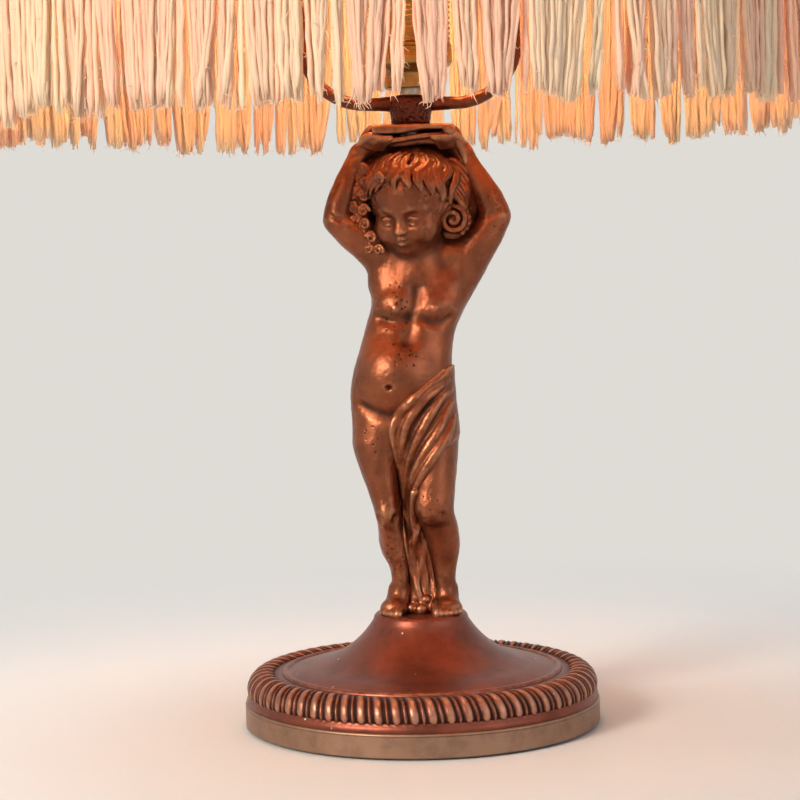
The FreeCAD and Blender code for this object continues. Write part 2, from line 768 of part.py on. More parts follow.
def harp_hoop():
    """The bent rod, with its ends let into the hub."""
    right, bar = harp_path()
    top = number("harp_top")
    half = Part.Wire([segment.toShape() for segment in right])
    other = half.mirror(Vector(), Vector(1, 0, 0))
    across = Part.LineSegment(Vector(bar, 0, top), Vector(-bar, 0, top)).toShape()
    path = Part.Wire(Part.__sortEdges__(half.Edges + [across] + other.Edges))
    first = right[0]
    circle = Part.Circle(first.StartPoint, Vector(1, 0, 0), number("rod_radius"))
    rod = path.makePipeShell([Part.Wire([circle.toShape()])], True, True)
    return made("harp_hoop", rod)


def harp_hub():
    low, corner = cell("slab_top"), cell("hub_corner")
    foot_radius, hub, hole = cell("hub_foot"), cell("hub_radius"), cell("pipe_radius")
    high = low + cell("hub_height")
    body = turned("harp_hub", (
        (hole, low),
        (foot_radius - corner, low, corner),
        (foot_radius, low + corner),
        (hub, high - 3, 3),
        (hub - 1.6, high - 0.8),
        (hole + 1.5, high),
        (hole, high),
    ))
    drilled(body, "rod_sockets", "YZ_Plane", cell("rod_radius"), 0, cell("rod_low"), both_ways=True)
    return body


def harp_boss():
    """The turned boss on the top bar, with the stud that carries the shade."""
    middle, half, stud = cell("harp_top"), cell("boss_half"), cell("stud_radius")
    radius = cell("boss_radius")
    body = turned("harp_boss", (
        (0, middle - half),
        (radius - 1.6, middle - half, 1.6),
        (radius, middle - half + 1.6),
        (radius, middle + half - 1),
        (radius - 1, middle + half),
        (stud, middle + half),
        (stud, cell("stud_top") - 0.8),
        (stud - 0.8, cell("stud_top")),
        (0, cell("stud_top")),
    ))
    drilled(body, "bar_way", "YZ_Plane", cell("rod_radius"), 0, middle, both_ways=True)
    return body


# ---------------------------------------------------------------- lampholder

def holder():
    wall, neck, widest = cell("sheet_wall"), cell("cap_neck"), cell("cap_radius")
    low, high, pipe = cell("cap_low"), cell("cap_high"), cell("pipe_radius")
    body = turned("holder_cap", (
        (pipe, low),
        (neck - 1, low, 1),
        (neck, low + 1),
        (neck, low + 5.5, -3),
        (neck + 1.6, low + 8),
        (widest - 1, high - 10, 3),
        (widest, high - 7),
        (widest, high),
        (widest - wall, high),
        (widest - wall, high - 6.6),
        (widest - wall - 1, high - 8.4),
        (neck + 0.6, low + 8.8),
        (neck - wall, low + 6.4),
        (neck - wall, low + 4),
        (pipe + 2, low + 4),
        (pipe + 2, low + 6),
        (pipe, low + 6),
    ))
    drilled(body, "set_screw_hole", "XZ_Plane", 1.25, 0, low + 2.2)
    screw = turned("cap_set_screw", (
        (0, 0), (1.2, 0), (1.2, 7.2), (2.4, 7.2), (2.4, 8.6), (0, 8.6),
    ))
    screw.Placement.Rotation = FreeCAD.Rotation(Vector(1, 0, 0), -90)
    bind(screw, "Placement.Base.y", pipe + 0.3)
    bind(screw, "Placement.Base.z", low + 2.2)

    skirt, mouth = cell("skirt_radius"), cell("skirt_high")
    turned("holder_skirt", (
        (widest - wall - 0.3 - wall, high - 6.4),
        (widest - wall - 0.3, high - 6.4),
        (widest - wall - 0.3, high + 0.2),
        (skirt, high + 0.6),
        (skirt, mouth - 1, 1),
        (skirt - 1, mouth),
        (cell("shell_radius") + 1.6, mouth),
        (cell("shell_radius") + 1.6, mouth - wall),
        (widest - 0.3 - wall * 2, mouth - wall - 1),
    ))

    insert, base, top = cell("insert_radius"), cell("insert_low"), cell("insert_high")
    block = turned("holder_insert", (
        (0, base + 2),
        (4, base + 2),
        (4, base),
        (insert - 4, base),
        (insert - 4, base + 3),
        (insert, base + 5.4),
        (insert, top + 4),
        (cell("shell_radius") + 0.1, top + 4),
        (cell("shell_radius") + 0.1, top - 1),
        (0, top - 1),
    ))
    for name, side in (("left_screw_way", -9.5), ("right_screw_way", 9.5)):
        drilled(block, name, "XY_Plane", 1.6, side, 0, both_ways=True)

    shell, thin = cell("shell_radius"), cell("shell_wall")
    turned("screw_shell", (
        (shell - 3, top - 1),
        (shell, top - 1),
        (shell, cell("shell_high")),
        (shell - thin, cell("shell_high")),
        (shell - thin, top - 1 + thin),
        (shell - 3, top - 1 + thin),
    ))
    turned("centre_contact", (
        (0, top - 1),
        (3.2, top - 1),
        (3.2, top - 0.6),
        (4.4, cell("bulb_low") - 0.5),
        (4.4, cell("bulb_low")),
        (0, cell("bulb_low")),
    ))
    heads = []
    for side in (-9.5, 9.5):
        shank = Part.makeCylinder(1.5, 9, Vector(side, 0, number("insert_low") - 0.2))
        cap = Part.makeCylinder(2.9, 1.8, Vector(side, 0, number("insert_low") - 2))
        heads.append(shank.fuse(cap))
    made("terminal_screws", Part.makeCompound(heads))


def bulb():
    """An E27 lamp: cap, insulator and contact, envelope, stem and filament."""
    contact, cap, cap_high = cell("bulb_low"), cell("cap_thread"), cell("bulb_cap_high")
    turned("bulb_contact", (
        (0, contact), (3.6, contact, 1.2), (4.6, contact + 1.4), (0, contact + 1.4),
    ))
    turned("bulb_insulator", (
        (0, contact + 1.4),
        (5, contact + 1.4),
        (10, contact + 4.6),
        (10, contact + 5.6),
        (0, contact + 5.6),
    ))
    turned("bulb_cap", (
        (10, contact + 4.6),
        (cap, contact + 7.4),
        (cap, cap_high - 2.6),
        (cap - 0.6, cap_high),
        (cap - 1.2, cap_high),
        (cap - 0.6, cap_high - 3),
        (cap - 0.6, contact + 7.8),
        (10, contact + 5.6),
    ))
    radius, centre, wall = cell("glass_radius"), cell("glass_centre"), cell("glass_wall")
    neck, flare = cap - 1.3, as_size(40)
    wide, drop = radius * 0.7333, radius * 0.68
    turned("bulb_glass", (
        (neck, cap_high - 5),
        (neck, cap_high + 1, flare * -1),
        (wide, centre - drop, radius),
        (0.5, centre + radius - 0.01),
        (0, centre + radius - 0.01),
        (0, centre + radius - wall - 0.01),
        (0.5, centre + radius - wall - 0.01, wall - radius),
        (wide - wall * 0.7333, centre - drop + wall * 0.68, flare + wall),
        (neck - wall, cap_high + 1),
        (neck - wall, cap_high - 5),
    ))
    turned("bulb_stem", (
        (0, cap_high - 4.8),
        (neck - wall - 0.1, cap_high - 4.8),
        (5, cap_high + 4, -12),
        (2.4, cap_high + 14),
        (2.4, cap_high + 27),
        (1.2, cap_high + 29),
        (0, cap_high + 29),
    ))
    top = number("bulb_cap_high") + 28
    legs = [
        Part.LineSegment(Vector(-1.6, 0, top - 4), Vector(-13, 0, top + 14)),
        Part.Arc(Vector(-13, 0, top + 14), Vector(0, 0, top + 19), Vector(13, 0, top + 14)),
        Part.LineSegment(Vector(13, 0, top + 14), Vector(1.6, 0, top - 4)),
    ]
    path = Part.Wire([segment.toShape() for segment in legs])
    circle = Part.Circle(Vector(-1.6, 0, top - 4), Vector(-11.4, 0, 18), 0.35)
    wire = path.makePipeShell([Part.Wire([circle.toShape()])], True, True, 2)
    made("filament", wire)


# ---------------------------------------------------------------- shade

def shade_bow():
    """Ends and radius of the bow from the bottom ring to the top ring, as sizes."""
    top = (cell("top_ring_radius"), cell("top_ring_height"))
    low = (cell("low_ring_radius"), cell("low_ring_height"))
    return top, low, cell("rib_arc")


def shade_frame():
    """Spider, two wire rings and the bowed ribs between them."""
    ring_radius, height = cell("top_ring_radius"), cell("top_ring_height")
    thick, hole = cell("spoke_thick"), cell("stud_radius") + 0.3
    low = cell("harp_top") + cell("boss_half")
    body = turned("shade_spider", (
        (hole, low),
        (cell("spider_radius"), low),
        (cell("spider_radius"), low + thick),
        (hole, low + thick),
    ))
    sketch = new_sketch(body, "spoke_outline", "XY_Plane", low)
    half = cell("spoke_width") / 2
    draw_outline(sketch, (
        (cell("spider_radius") - 1.5, half * -1),
        (ring_radius - cell("ring_wire") + 0.3, half * -1),
        (ring_radius - cell("ring_wire") + 0.3, half),
        (cell("spider_radius") - 1.5, half),
    ))
    spoke = body.newObject("PartDesign::Pad", "spoke")
    spoke.Profile = sketch
    bind(spoke, "Length", thick)
    spokes = body.newObject("PartDesign::PolarPattern", "spokes")
    spokes.Originals = [spoke]
    spokes.Axis = (sketch, ["N_Axis"])
    spokes.Angle = 360
    spokes.Occurrences = int(number("spoke_count"))
    bind(spokes, "Occurrences", cell("spoke_count"))
    body.Tip = spokes

    upper = bound("Part::Torus", "top_wire", Radius1=ring_radius, Radius2=cell("ring_wire"))
    bind(upper, "Placement.Base.z", height)
    subpart(upper, "shade_top_ring")
    lower = bound("Part::Torus", "low_wire", Radius1=cell("low_ring_radius"),
                  Radius2=cell("ring_wire"))
    bind(lower, "Placement.Base.z", cell("low_ring_height"))
    subpart(lower, "shade_bottom_ring")

    (top_r, top_z), (low_r, low_z), bow = shade_bow()
    start = Vector(low_r.number, low_z.number + number("ring_wire"), 0)
    end = Vector(top_r.number + number("ring_wire"), top_z.number, 0)
    arc = arc_between(start, end, bow.number)
    points = [arc.value(arc.FirstParameter + part * (arc.LastParameter - arc.FirstParameter))
              for part in (0, 0.5, 1)]
    upright = [Vector(point.x, 0, point.y) for point in points]
    path = Part.Wire([Part.Arc(*upright).toShape()])
    tangent = path.Edges[0].tangentAt(path.Edges[0].FirstParameter)
    circle = Part.Circle(upright[0], tangent, number("rib_wire"))
    rib = path.makePipeShell([Part.Wire([circle.toShape()])], True, True)
    ribs = []
    count = int(number("rib_count"))
    for index in range(count):
        turned_rib = rib.copy()
        turned_rib.rotate(Vector(), Vector(0, 0, 1), 360.0 * (index + 0.5) / count)
        ribs.append(turned_rib)
    made("shade_ribs", Part.makeCompound(ribs))


def shade_textiles():
    """Silk cover over the ribs, a braid round each end, and the long fringe."""
    (top_r, top_z), (low_r, low_z), bow = shade_bow()
    gap, thick = cell("ring_wire") + 0.3, cell("cover_thick")
    turned("shade_cover", (
        (low_r + gap, low_z - 2),
        (low_r + gap + thick, low_z - 2),
        (low_r + gap + thick, low_z, bow + gap + thick),
        (top_r + 1, top_z + gap + thick + 1),
        (top_r, top_z + gap + 1),
        (top_r + 0.9, top_z + gap + 0.4, (bow + gap) * -1),
        (low_r + gap, low_z),
    ))
    braid, slim = cell("braid_height"), cell("braid_thick")
    outer = low_r + gap + thick + 0.1
    turned("bottom_braid", (
        (outer, low_z - 4),
        (outer + slim, low_z - 4),
        (outer + slim, low_z - 4 + braid),
        (outer, low_z - 4 + braid),
    ))
    turned("top_braid", (
        (top_r - 2.6, top_z + 3.6),
        (top_r + 1, top_z + 4.9),
        (top_r + 10, top_z + 2.8),
        (top_r + 10.4, top_z + 4.2),
        (top_r + 1.6, top_z + 6.6),
        (top_r - 2.8, top_z + 5.2),
    ))
    fringe = cell("fringe_thick")
    turned("fringe", (
        (low_r - fringe * 0.4, cell("fringe_low")),
        (low_r + fringe * 0.6, cell("fringe_low")),
        (low_r + gap + thick, low_z - 4.2),
        (low_r - 2, low_z - 4.2),
    ))


def finial():
    low = cell("harp_top") + cell("boss_half") + cell("spoke_thick")
    high, ball, hole = cell("finial_high"), cell("finial_radius"), cell("stud_radius") + 0.06
    turned("finial", (
        (hole, low),
        (8.4, low),
        (8.4, low + 1.8, 1.4),
        (7, low + 3.2),
        (4.8, low + 6, -4),
        (5.4, low + 9.4, ball),
        (ball * 0.4, high - 5.6, -3),
        (1.4, high - 1.2),
        (0.6, high),
        (0, high),
        (0, cell("stud_top") + 0.6),
        (hole, cell("stud_top") + 0.6),
    ))


# ---------------------------------------------------------------- build and write

def build():
    base_pad()
    foot_ring()
    base_casting()
    base_weight()
    base_fasteners()
    cord_bush()
    figure_casting()
    harp_hub()
    harp_hoop()
    harp_boss()
    holder()
    bulb()
    shade_frame()
    shade_textiles()
    finial()
    doc.recompute()


def check_and_write():
    faults = [item.Name for item in doc.Objects
              if "Invalid" in item.State or "Error" in item.State]
    if faults:
        raise RuntimeError(f"not built: {faults}")
    os.makedirs(PARTS_FOLDER, exist_ok=True)
    for piece in SUBPARTS:
        shape = piece.Shape
        if shape.isNull() or not shape.isValid() or not shape.Solids:
            raise RuntimeError(f"bad shape: {piece.Label}")
        print(f"{piece.Label}: {len(shape.Solids)} solids, {shape.Volume:.1f} mm3")
        shape.exportStep(os.path.join(PARTS_FOLDER, f"{piece.Label}.step"))


build()
check_and_write()
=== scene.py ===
"""Figural table lamp: the looks of every piece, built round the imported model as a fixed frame.

Sizes in the sculpting and turning functions are millimetres. The objects are in metres.
"""
import bpy
import math
import numpy as np
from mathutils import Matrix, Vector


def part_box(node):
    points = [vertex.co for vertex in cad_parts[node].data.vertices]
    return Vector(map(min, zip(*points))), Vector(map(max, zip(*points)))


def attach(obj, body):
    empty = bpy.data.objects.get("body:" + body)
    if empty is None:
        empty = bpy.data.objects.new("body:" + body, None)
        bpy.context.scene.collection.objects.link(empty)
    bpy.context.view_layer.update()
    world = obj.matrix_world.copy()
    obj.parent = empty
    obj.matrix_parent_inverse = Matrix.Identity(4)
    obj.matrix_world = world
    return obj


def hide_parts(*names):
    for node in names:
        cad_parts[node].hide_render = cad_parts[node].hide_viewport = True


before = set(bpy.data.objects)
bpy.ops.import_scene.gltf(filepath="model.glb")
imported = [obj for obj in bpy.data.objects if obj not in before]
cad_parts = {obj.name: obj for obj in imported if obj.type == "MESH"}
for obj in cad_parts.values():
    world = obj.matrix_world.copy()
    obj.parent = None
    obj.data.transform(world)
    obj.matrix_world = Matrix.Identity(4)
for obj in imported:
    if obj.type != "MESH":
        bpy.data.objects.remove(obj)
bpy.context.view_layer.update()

import openvdb
from functools import partial
from mathutils import Matrix, Vector

bl_info = {
    "name": "Figural table lamp",
    "version": (1, 0, 0),
    "blender": (4, 5, 0),
    "location": "3D View > Sidebar > Lamp",
    "description": "Models a bronze child that holds up a fringed silk shade, on a gadrooned base",
    "category": "Add Mesh",
}

MM = 0.001
FULL_TURN = 2 * math.pi
MERGE = 0.003 * MM    # doubles nearer to each other than this become one


# -------------------- colours and sizes

def linear(hex_colour):
    """An sRGB hex colour as linear RGBA."""
    def one(start):
        part = int(hex_colour[start:start + 2], 16) / 255
        return part / 12.92 if part <= 0.04045 else ((part + 0.055) / 1.055) ** 2.4
    return (one(1), one(3), one(5), 1.0)


def length_property(name, description, millimetres):
    return bpy.props.FloatProperty(name=name, description=description, default=millimetres * MM,
                                   min=0.0, subtype="DISTANCE", unit="LENGTH")


def colour_property(name, description, hex_colour):
    return bpy.props.FloatVectorProperty(name=name, description=description, size=4,
                                         default=linear(hex_colour), min=0.0, max=1.0,
                                         subtype="COLOR")


def count_property(name, description, count):
    return bpy.props.IntProperty(name=name, description=description, default=count, min=1)


class LampSizes(bpy.types.PropertyGroup):
    """Sizes that the pieces are made from, beside those of the frame."""
    clay_step: length_property("Clay step", "Spacing of the sculpture's grid", 0.55)
    lobe_count: count_property("Lobes", "Lobes round the base's border", 64)
    lobe_depth: length_property("Lobe depth", "Depth of the hollows between lobes", 1.05)
    strand_count: count_property("Yarns", "Yarns in the shade's fringe", 3900)
    strand_width: length_property("Yarn width", "Width of one yarn of the fringe", 1.4)
    thread_pitch: length_property("Holder thread", "Pitch of the holder's outside thread", 2.5)
    braid_pitch: length_property("Braid pitch", "Length of one crossing of the braid", 7.0)


class LampColours(bpy.types.PropertyGroup):
    """Colours of the finishes."""
    bronze: colour_property("Bronze", "Red-brown patina of the castings", "#82492F")
    # This dark colour is both the patina in hollows and painted shade there.
    bronze_dark: colour_property("Bronze, dark", "Patina in hollows", "#20100B")
    bronze_worn: colour_property("Bronze, worn", "Rubbed metal on high places", "#C99470")
    brass: colour_property("Brass", "Browned brass of the foot ring and fittings", "#947560")
    harp: colour_property("Harp", "Bronzed finish of the harp", "#5E2C1E")
    silk: colour_property("Silk", "Silk of the cover", "#EFC9B4")
    yarn: colour_property("Yarn", "Cream yarns of the fringe", "#FFF6E2")
    yarn_pink: colour_property("Yarn, pink", "Pink yarns of the fringe", "#FFE6D3")
    light: colour_property("Light", "Colour of the lit bulb", "#FFD08C")
    floor: colour_property("Floor", "Plain pale floor", "#D9DCDF")


def sizes():
    return bpy.context.scene.lamp_sizes


def colours():
    return bpy.context.scene.lamp_colours


def box_mm(node):
    """A node's lowest and highest corners in millimetres."""
    low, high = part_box(node)
    return Vector(low) / MM, Vector(high) / MM


# -------------------- meshes

def nothing_selected():
    if bpy.context.object is not None and bpy.context.object.mode != "OBJECT":
        bpy.ops.object.mode_set(mode="OBJECT")
    bpy.ops.object.select_all(action="DESELECT")


def only(piece):
    """Make one object the only one selected, and the active one."""
    nothing_selected()
    piece.select_set(True)
    bpy.context.view_layer.objects.active = piece


def piece_from_arrays(name, places, triangles, quads):
    """A new object from arrays of places in metres and of corner numbers."""
    mesh = bpy.data.meshes.new(name)
    triangles = np.asarray(triangles, dtype=np.int32).reshape(-1, 3)
    quads = np.asarray(quads, dtype=np.int32).reshape(-1, 4)
    mesh.vertices.add(len(places))
    mesh.vertices.foreach_set("co", np.asarray(places, dtype=np.float32).ravel())
    corners = np.concatenate([triangles.ravel(), quads.ravel()])
    mesh.loops.add(len(corners))
    mesh.loops.foreach_set("vertex_index", corners)
    starts = np.concatenate([3 * np.arange(len(triangles)),
                             3 * len(triangles) + 4 * np.arange(len(quads))])
    mesh.polygons.add(len(starts))
    mesh.polygons.foreach_set("loop_start", starts.astype(np.int32))
    mesh.update(calc_edges=True)
    mesh.validate()
    piece = bpy.data.objects.new(name, mesh)
    bpy.context.scene.collection.objects.link(piece)
    face_outwards(piece)
    mesh.shade_smooth()
    return piece


def face_outwards(piece):
    """Turn a closed mesh round where its faces point inwards."""
    only(piece)
    bpy.ops.object.mode_set(mode="EDIT")
    bpy.ops.mesh.select_all(action="SELECT")
    bpy.ops.mesh.normals_make_consistent(inside=False)
    bpy.ops.object.mode_set(mode="OBJECT")


def apply_modifier(piece, kind, **settings):
    """Add a modifier with its settings and apply it."""
    only(piece)
    modifier = piece.modifiers.new(kind.title(), kind)
    for name, value in settings.items():
        setattr(modifier, name, value)
    bpy.ops.object.modifier_apply(modifier=modifier.name)


def thin_out(piece, share):
    """Keep only a share of a mesh's triangles, where they are needed least."""
    apply_modifier(piece, "DECIMATE", decimate_type="COLLAPSE", ratio=share)
    piece.data.shade_smooth()


def vertex_places(piece):
    """The places of a piece's vertices, in metres."""
    places = np.empty(3 * len(piece.data.vertices), dtype=np.float32)
    piece.data.vertices.foreach_get("co", places)
    return places.reshape(-1, 3).astype(np.float64)


def set_vertex_places(piece, places):
    piece.data.vertices.foreach_set("co", places.astype(np.float32).ravel())
    piece.data.update()


def round_axis(piece):
    """A piece's vertices in millimetres, and their radius and turn about the lamp's axis."""
    places = vertex_places(piece) / MM
    return places, np.hypot(places[:, 0], places[:, 1]), np.arctan2(places[:, 1], places[:, 0])


def write_attribute(piece, name, values):
    """Store one number for each vertex, kept between -1 and 1, for the materials."""
    layer = piece.data.attributes.new(name, "FLOAT", "POINT")
    layer.data.foreach_set("value", np.clip(values, -1, 1).astype(np.float32))


def waves(places, shortest, longest, seed, count=28):
    """Smooth unevenness between about -1 and 1, of waves between two lengths."""
    random = np.random.default_rng(seed)
    total = np.zeros(len(places))
    for _ in range(count):
        way = random.normal(size=3)
        way /= np.linalg.norm(way)
        length = shortest * (longest / shortest) ** random.random()
        total += np.sin(FULL_TURN * (places @ way / length + random.random()))
    return total / math.sqrt(count / 2)


def unevenness(piece, depth, seed):
    """Move the skin in and out a little in waves of 2 to 9 mm, as on a sand casting."""
    normals = np.empty(3 * len(piece.data.vertices), dtype=np.float32)
    piece.data.vertex_normals.foreach_get("vector", normals)
    places = vertex_places(piece)
    amount = depth * waves(places / MM, 2.2, 9.0, seed)
    set_vertex_places(piece, places + normals.reshape(-1, 3) * amount[:, None] * MM)


def arc_points(start, end, radius, chord):
    """Points after start, up to end, on an arc that turns left for a positive radius."""
    (x0, z0), (x1, z1) = start, end
    length = math.hypot(x1 - x0, z1 - z0)
    height = math.sqrt(max(radius * radius - length * length / 4, 0))
    side = 1 if radius > 0 else -1
    x = (x0 + x1) / 2 - (z1 - z0) / length * side * height
    z = (z0 + z1) / 2 + (x1 - x0) / length * side * height
    first, last = math.atan2(z0 - z, x0 - x), math.atan2(z1 - z, x1 - x)
    turn = (last - first) % FULL_TURN if radius > 0 else -((first - last) % FULL_TURN)
    count = max(int(math.ceil(abs(turn * radius) / chord)), 2)
    return [(x + abs(radius) * math.cos(first + turn * step / count),
             z + abs(radius) * math.sin(first + turn * step / count))
            for step in range(1, count + 1)]


def outline(corners, chord=1.0):
    """Points of an outline in millimetres, which ends where it starts.

    A corner is (x, z), and may go on with the radius and the chord of the arc to the next one.
    Straight sides are divided four times as coarsely as arcs.
    """
    points = [tuple(corners[0][:2])]
    for corner, following in zip(corners, list(corners[1:]) + [corners[0]]):
        start, end = corner[:2], following[:2]
        if len(corner) > 2:
            points += arc_points(start, end, corner[2], corner[3] if len(corner) > 3 else chord)
        else:
            length = math.hypot(end[0] - start[0], end[1] - start[1])
            count = max(int(length / (4 * chord)), 1)
            points += [tuple(a + (b - a) * step / count for a, b in zip(start, end))
                       for step in range(1, count + 1)]
    return points


def drawn(name, points):
    """A new object whose edges run through (x, z) points in millimetres, left in edit mode."""
    nothing_selected()
    bpy.ops.mesh.primitive_plane_add(size=MM)
    piece = bpy.context.object
    piece.name = piece.data.name = name
    bpy.ops.object.mode_set(mode="EDIT")
    bpy.ops.mesh.merge(type="CENTER")
    place = Vector((points[0][0], 0, points[0][1])) * MM
    bpy.ops.transform.translate(value=place)
    for x, z in points[1:]:
        following = Vector((x, 0, z)) * MM
        bpy.ops.mesh.extrude_region_move(TRANSFORM_OT_translate={"value": following - place})
        place = following
    bpy.ops.mesh.select_all(action="SELECT")
    return piece


def spun(name, points, steps, degrees):
    """A piece spun from (radius, height) points, smooth but for edges sharper than some degrees."""
    piece = drawn(name, points)
    bpy.ops.mesh.spin(steps=steps, angle=FULL_TURN, center=(0, 0, 0), axis=(0, 0, 1))
    bpy.ops.mesh.select_all(action="SELECT")
    bpy.ops.mesh.remove_doubles(threshold=MERGE)
    bpy.ops.mesh.normals_make_consistent(inside=False)
    bpy.ops.object.mode_set(mode="OBJECT")
    bpy.ops.object.shade_smooth_by_angle(angle=math.radians(degrees))
    return piece


def turned(name, corners, steps, chord=1.0, degrees=35):
    """A piece turned about the lamp's axis from an outline of (radius, height) corners."""
    return spun(name, outline(corners, chord), steps, degrees)


def finish_piece(piece, body, finish_name, node):
    """Give a piece its finish and its body, and hide the node that it stands for."""
    piece.data.materials.clear()
    piece.data.materials.append(finish(finish_name))
    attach(piece, body)
    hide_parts(node)
    return piece


# -------------------- modelling clay

FAR = 20.0            # distance given to clay that nothing has reached yet
REACH = 10.0          # how far round a shape its distances are worked out, unless told otherwise
SKIN_DEPTH = 3.0      # how deep the distances are kept for the mesh
UNEVEN = 0.05         # depth of a casting's unevenness


def spline(places, pieces):
    """Points on a smooth line through places, whose last column may be a radius."""
    places = np.array(places, dtype=np.float64)
    ends = np.vstack([2 * places[0] - places[1], places, 2 * places[-1] - places[-2]])
    part = np.linspace(0, 1, pieces, endpoint=False)[:, None]
    rows = []
    for a, b, c, d in zip(ends[:-3], ends[1:-2], ends[2:-1], ends[3:]):
        rows.append(0.5 * (2 * b + (c - a) * part + (2 * a - 5 * b + 4 * c - d) * part ** 2
                           + (3 * b - a - 3 * c + d) * part ** 3))
    return np.vstack(rows + [places[-1:]])


def along(knots, values, at):
    """Smooth values at some heights, from values at knots in rising order."""
    knots, values = np.array(knots, float), np.array(values, float)
    slopes = np.gradient(values, knots)
    at = np.clip(at, knots[0], knots[-1])
    index = np.clip(np.searchsorted(knots, at) - 1, 0, len(knots) - 2)
    gap = knots[index + 1] - knots[index]
    part = (at - knots[index]) / gap
    a, b = values[index], values[index + 1]
    bend_a, bend_b = slopes[index] * gap, slopes[index + 1] * gap
    return (a + part * (bend_a + part * (3 * (b - a) - 2 * bend_a - bend_b
                                         + part * (2 * (a - b) + bend_a + bend_b))))


def melt(first, second, soft):
    """The union of two distances, rounded over where they meet."""
    if soft <= 0:
        return np.minimum(first, second)
    close = np.maximum(soft - np.abs(first - second), 0) / soft
    return np.minimum(first, second) - close * close * soft * 0.25


class Clay:
    """A block of clay: distances to its surface in millimetres, on a grid of points."""

    def __init__(self, low, high, step):
        self.low = np.array(low, dtype=np.float64)
        self.step = step
        self.counts = np.ceil((np.array(high) - self.low) / step).astype(int) + 1
        self.field = np.full(self.counts, FAR, dtype=np.float32)
        self.reach = REACH
        self.pose = np.eye(3)
        self.centre = np.zeros(3)

    def placed(self, places):
        """Places in the posed frame, as places in the lamp."""
        return np.asarray(places, dtype=np.float64) @ self.pose.T + self.centre

    def window(self, low, high):
        """The part of the grid between two corners, and the coordinates of its points."""
        first = np.clip(((low - self.low) / self.step).astype(int), 0, self.counts)
        last = np.clip(((high - self.low) / self.step).astype(int) + 2, 0, self.counts)
        axes = [self.low[axis] + self.step * np.arange(first[axis], last[axis])
                for axis in range(3)]
        part = tuple(slice(a, b) for a, b in zip(first, last))
        return part, np.meshgrid(*[axis.astype(np.float32) for axis in axes],
                                 indexing="ij", sparse=True)

    @staticmethod
    def along_axes(grid, middle, axes):
        """A grid's coordinates from a middle along a shape's own three axes."""
        offsets = [axis - np.float32(place) for axis, place in zip(grid, middle)]
        return [sum(np.float32(axes[i, axis]) * offsets[i] for i in range(3)) for axis in range(3)]

    def put(self, part, distance, soft, carve):
        """Melt a shape into the clay, or carve it away."""
        clay = self.field[part]
        if carve:
            self.field[part] = -melt(-clay, distance, soft)
        else:
            self.field[part] = melt(clay, distance, soft)

    def egg(self, centre, half, soft=2.0, turn=(0, 0, 0), carve=False):
        """An ellipsoid, turned by degrees about its own X, Y and Z."""
        radians = [math.radians(angle) for angle in turn]
        axes = self.pose @ np.array(Matrix.Rotation(radians[2], 3, "Z")
                                    @ Matrix.Rotation(radians[1], 3, "Y")
                                    @ Matrix.Rotation(radians[0], 3, "X"))
        middle = self.placed(centre)
        half = np.array(half, dtype=np.float64)
        extent = np.sqrt(((axes * half) ** 2).sum(axis=1)) + self.reach
        part, grid = self.window(middle - extent, middle + extent)
        local = self.along_axes(grid, middle, axes)
        near = np.sqrt(sum((along / np.float32(own)) ** 2 for along, own in zip(local, half)))
        steep = np.sqrt(sum((along / np.float32(own ** 2)) ** 2
                            for along, own in zip(local, half)))
        distance = near * (near - 1) / np.maximum(steep, 1e-6)
        self.put(part, distance, soft, carve)

    def rod(self, places, soft=1.0, pieces=6, carve=False):
        """A round rod along a smooth line of (x, y, z, radius) places."""
        line = spline(places, pieces)
        spine = self.placed(line[:, :3])
        radii = np.maximum(line[:, 3], 0.05)
        extent = radii.max() + self.reach
        part, grid = self.window(spine.min(axis=0) - extent, spine.max(axis=0) + extent)
        shape = tuple(axis.size for axis in grid)
        if min(shape) < 1:
            return
        distance = np.full(shape, FAR, dtype=np.float32)
        corner = np.array([entry.start for entry in part])
        for index in range(len(spine) - 1):
            self._stick(distance, corner, spine[index:index + 2], radii[index:index + 2])
        self.put(part, distance, soft, carve)

    def _stick(self, distance, corner, ends, radii):
        """One straight tapered length of a rod."""
        extent = radii.max() + self.reach
        part, grid = self.window(ends.min(axis=0) - extent, ends.max(axis=0) + extent)
        inside = tuple(slice(entry.start - start, entry.stop - start)
                       for entry, start in zip(part, corner))
        way = ends[1] - ends[0]
        length = max(float(way @ way), 1e-9)
        offsets = [axis - np.float32(place) for axis, place in zip(grid, ends[0])]
        share = sum(np.float32(way[i] / length) * offsets[i] for i in range(3))
        share = np.clip(share, 0, 1)
        square = sum((offsets[i] - share * np.float32(way[i])) ** 2 for i in range(3))
        stick = np.sqrt(square) - (np.float32(radii[0]) + share * np.float32(radii[1] - radii[0]))
        np.minimum(distance[inside], stick, out=distance[inside])

    def column(self, sections, soft=2.0):
        """A smooth upright form through rows of (height, x, y, half width, half depth)."""
        rows = np.array(sorted(sections), dtype=np.float64)
        wide, deep = rows[:, 3].max() + self.reach, rows[:, 4].max() + self.reach
        low = np.array([rows[:, 1].min() - wide, rows[:, 2].min() - deep, rows[0, 0] - 4])
        high = np.array([rows[:, 1].max() + wide, rows[:, 2].max() + deep, rows[-1, 0] + 4])
        part, (x, y, z) = self.window(low, high)
        x_mid, y_mid, half_x, half_y = (along(rows[:, 0], rows[:, column], z).astype(np.float32)
                                        for column in range(1, 5))
        across, into = x - x_mid, y - y_mid
        near = np.sqrt((across / half_x) ** 2 + (into / half_y) ** 2)
        steep = np.sqrt((across / half_x ** 2) ** 2 + (into / half_y ** 2) ** 2)
        distance = near * (near - 1) / np.maximum(steep, 1e-6)
        ends = np.maximum(z - np.float32(rows[-1, 0]), np.float32(rows[0, 0]) - z)
        distance = -melt(-distance, -ends, 3.0)
        self.put(part, distance, soft, False)

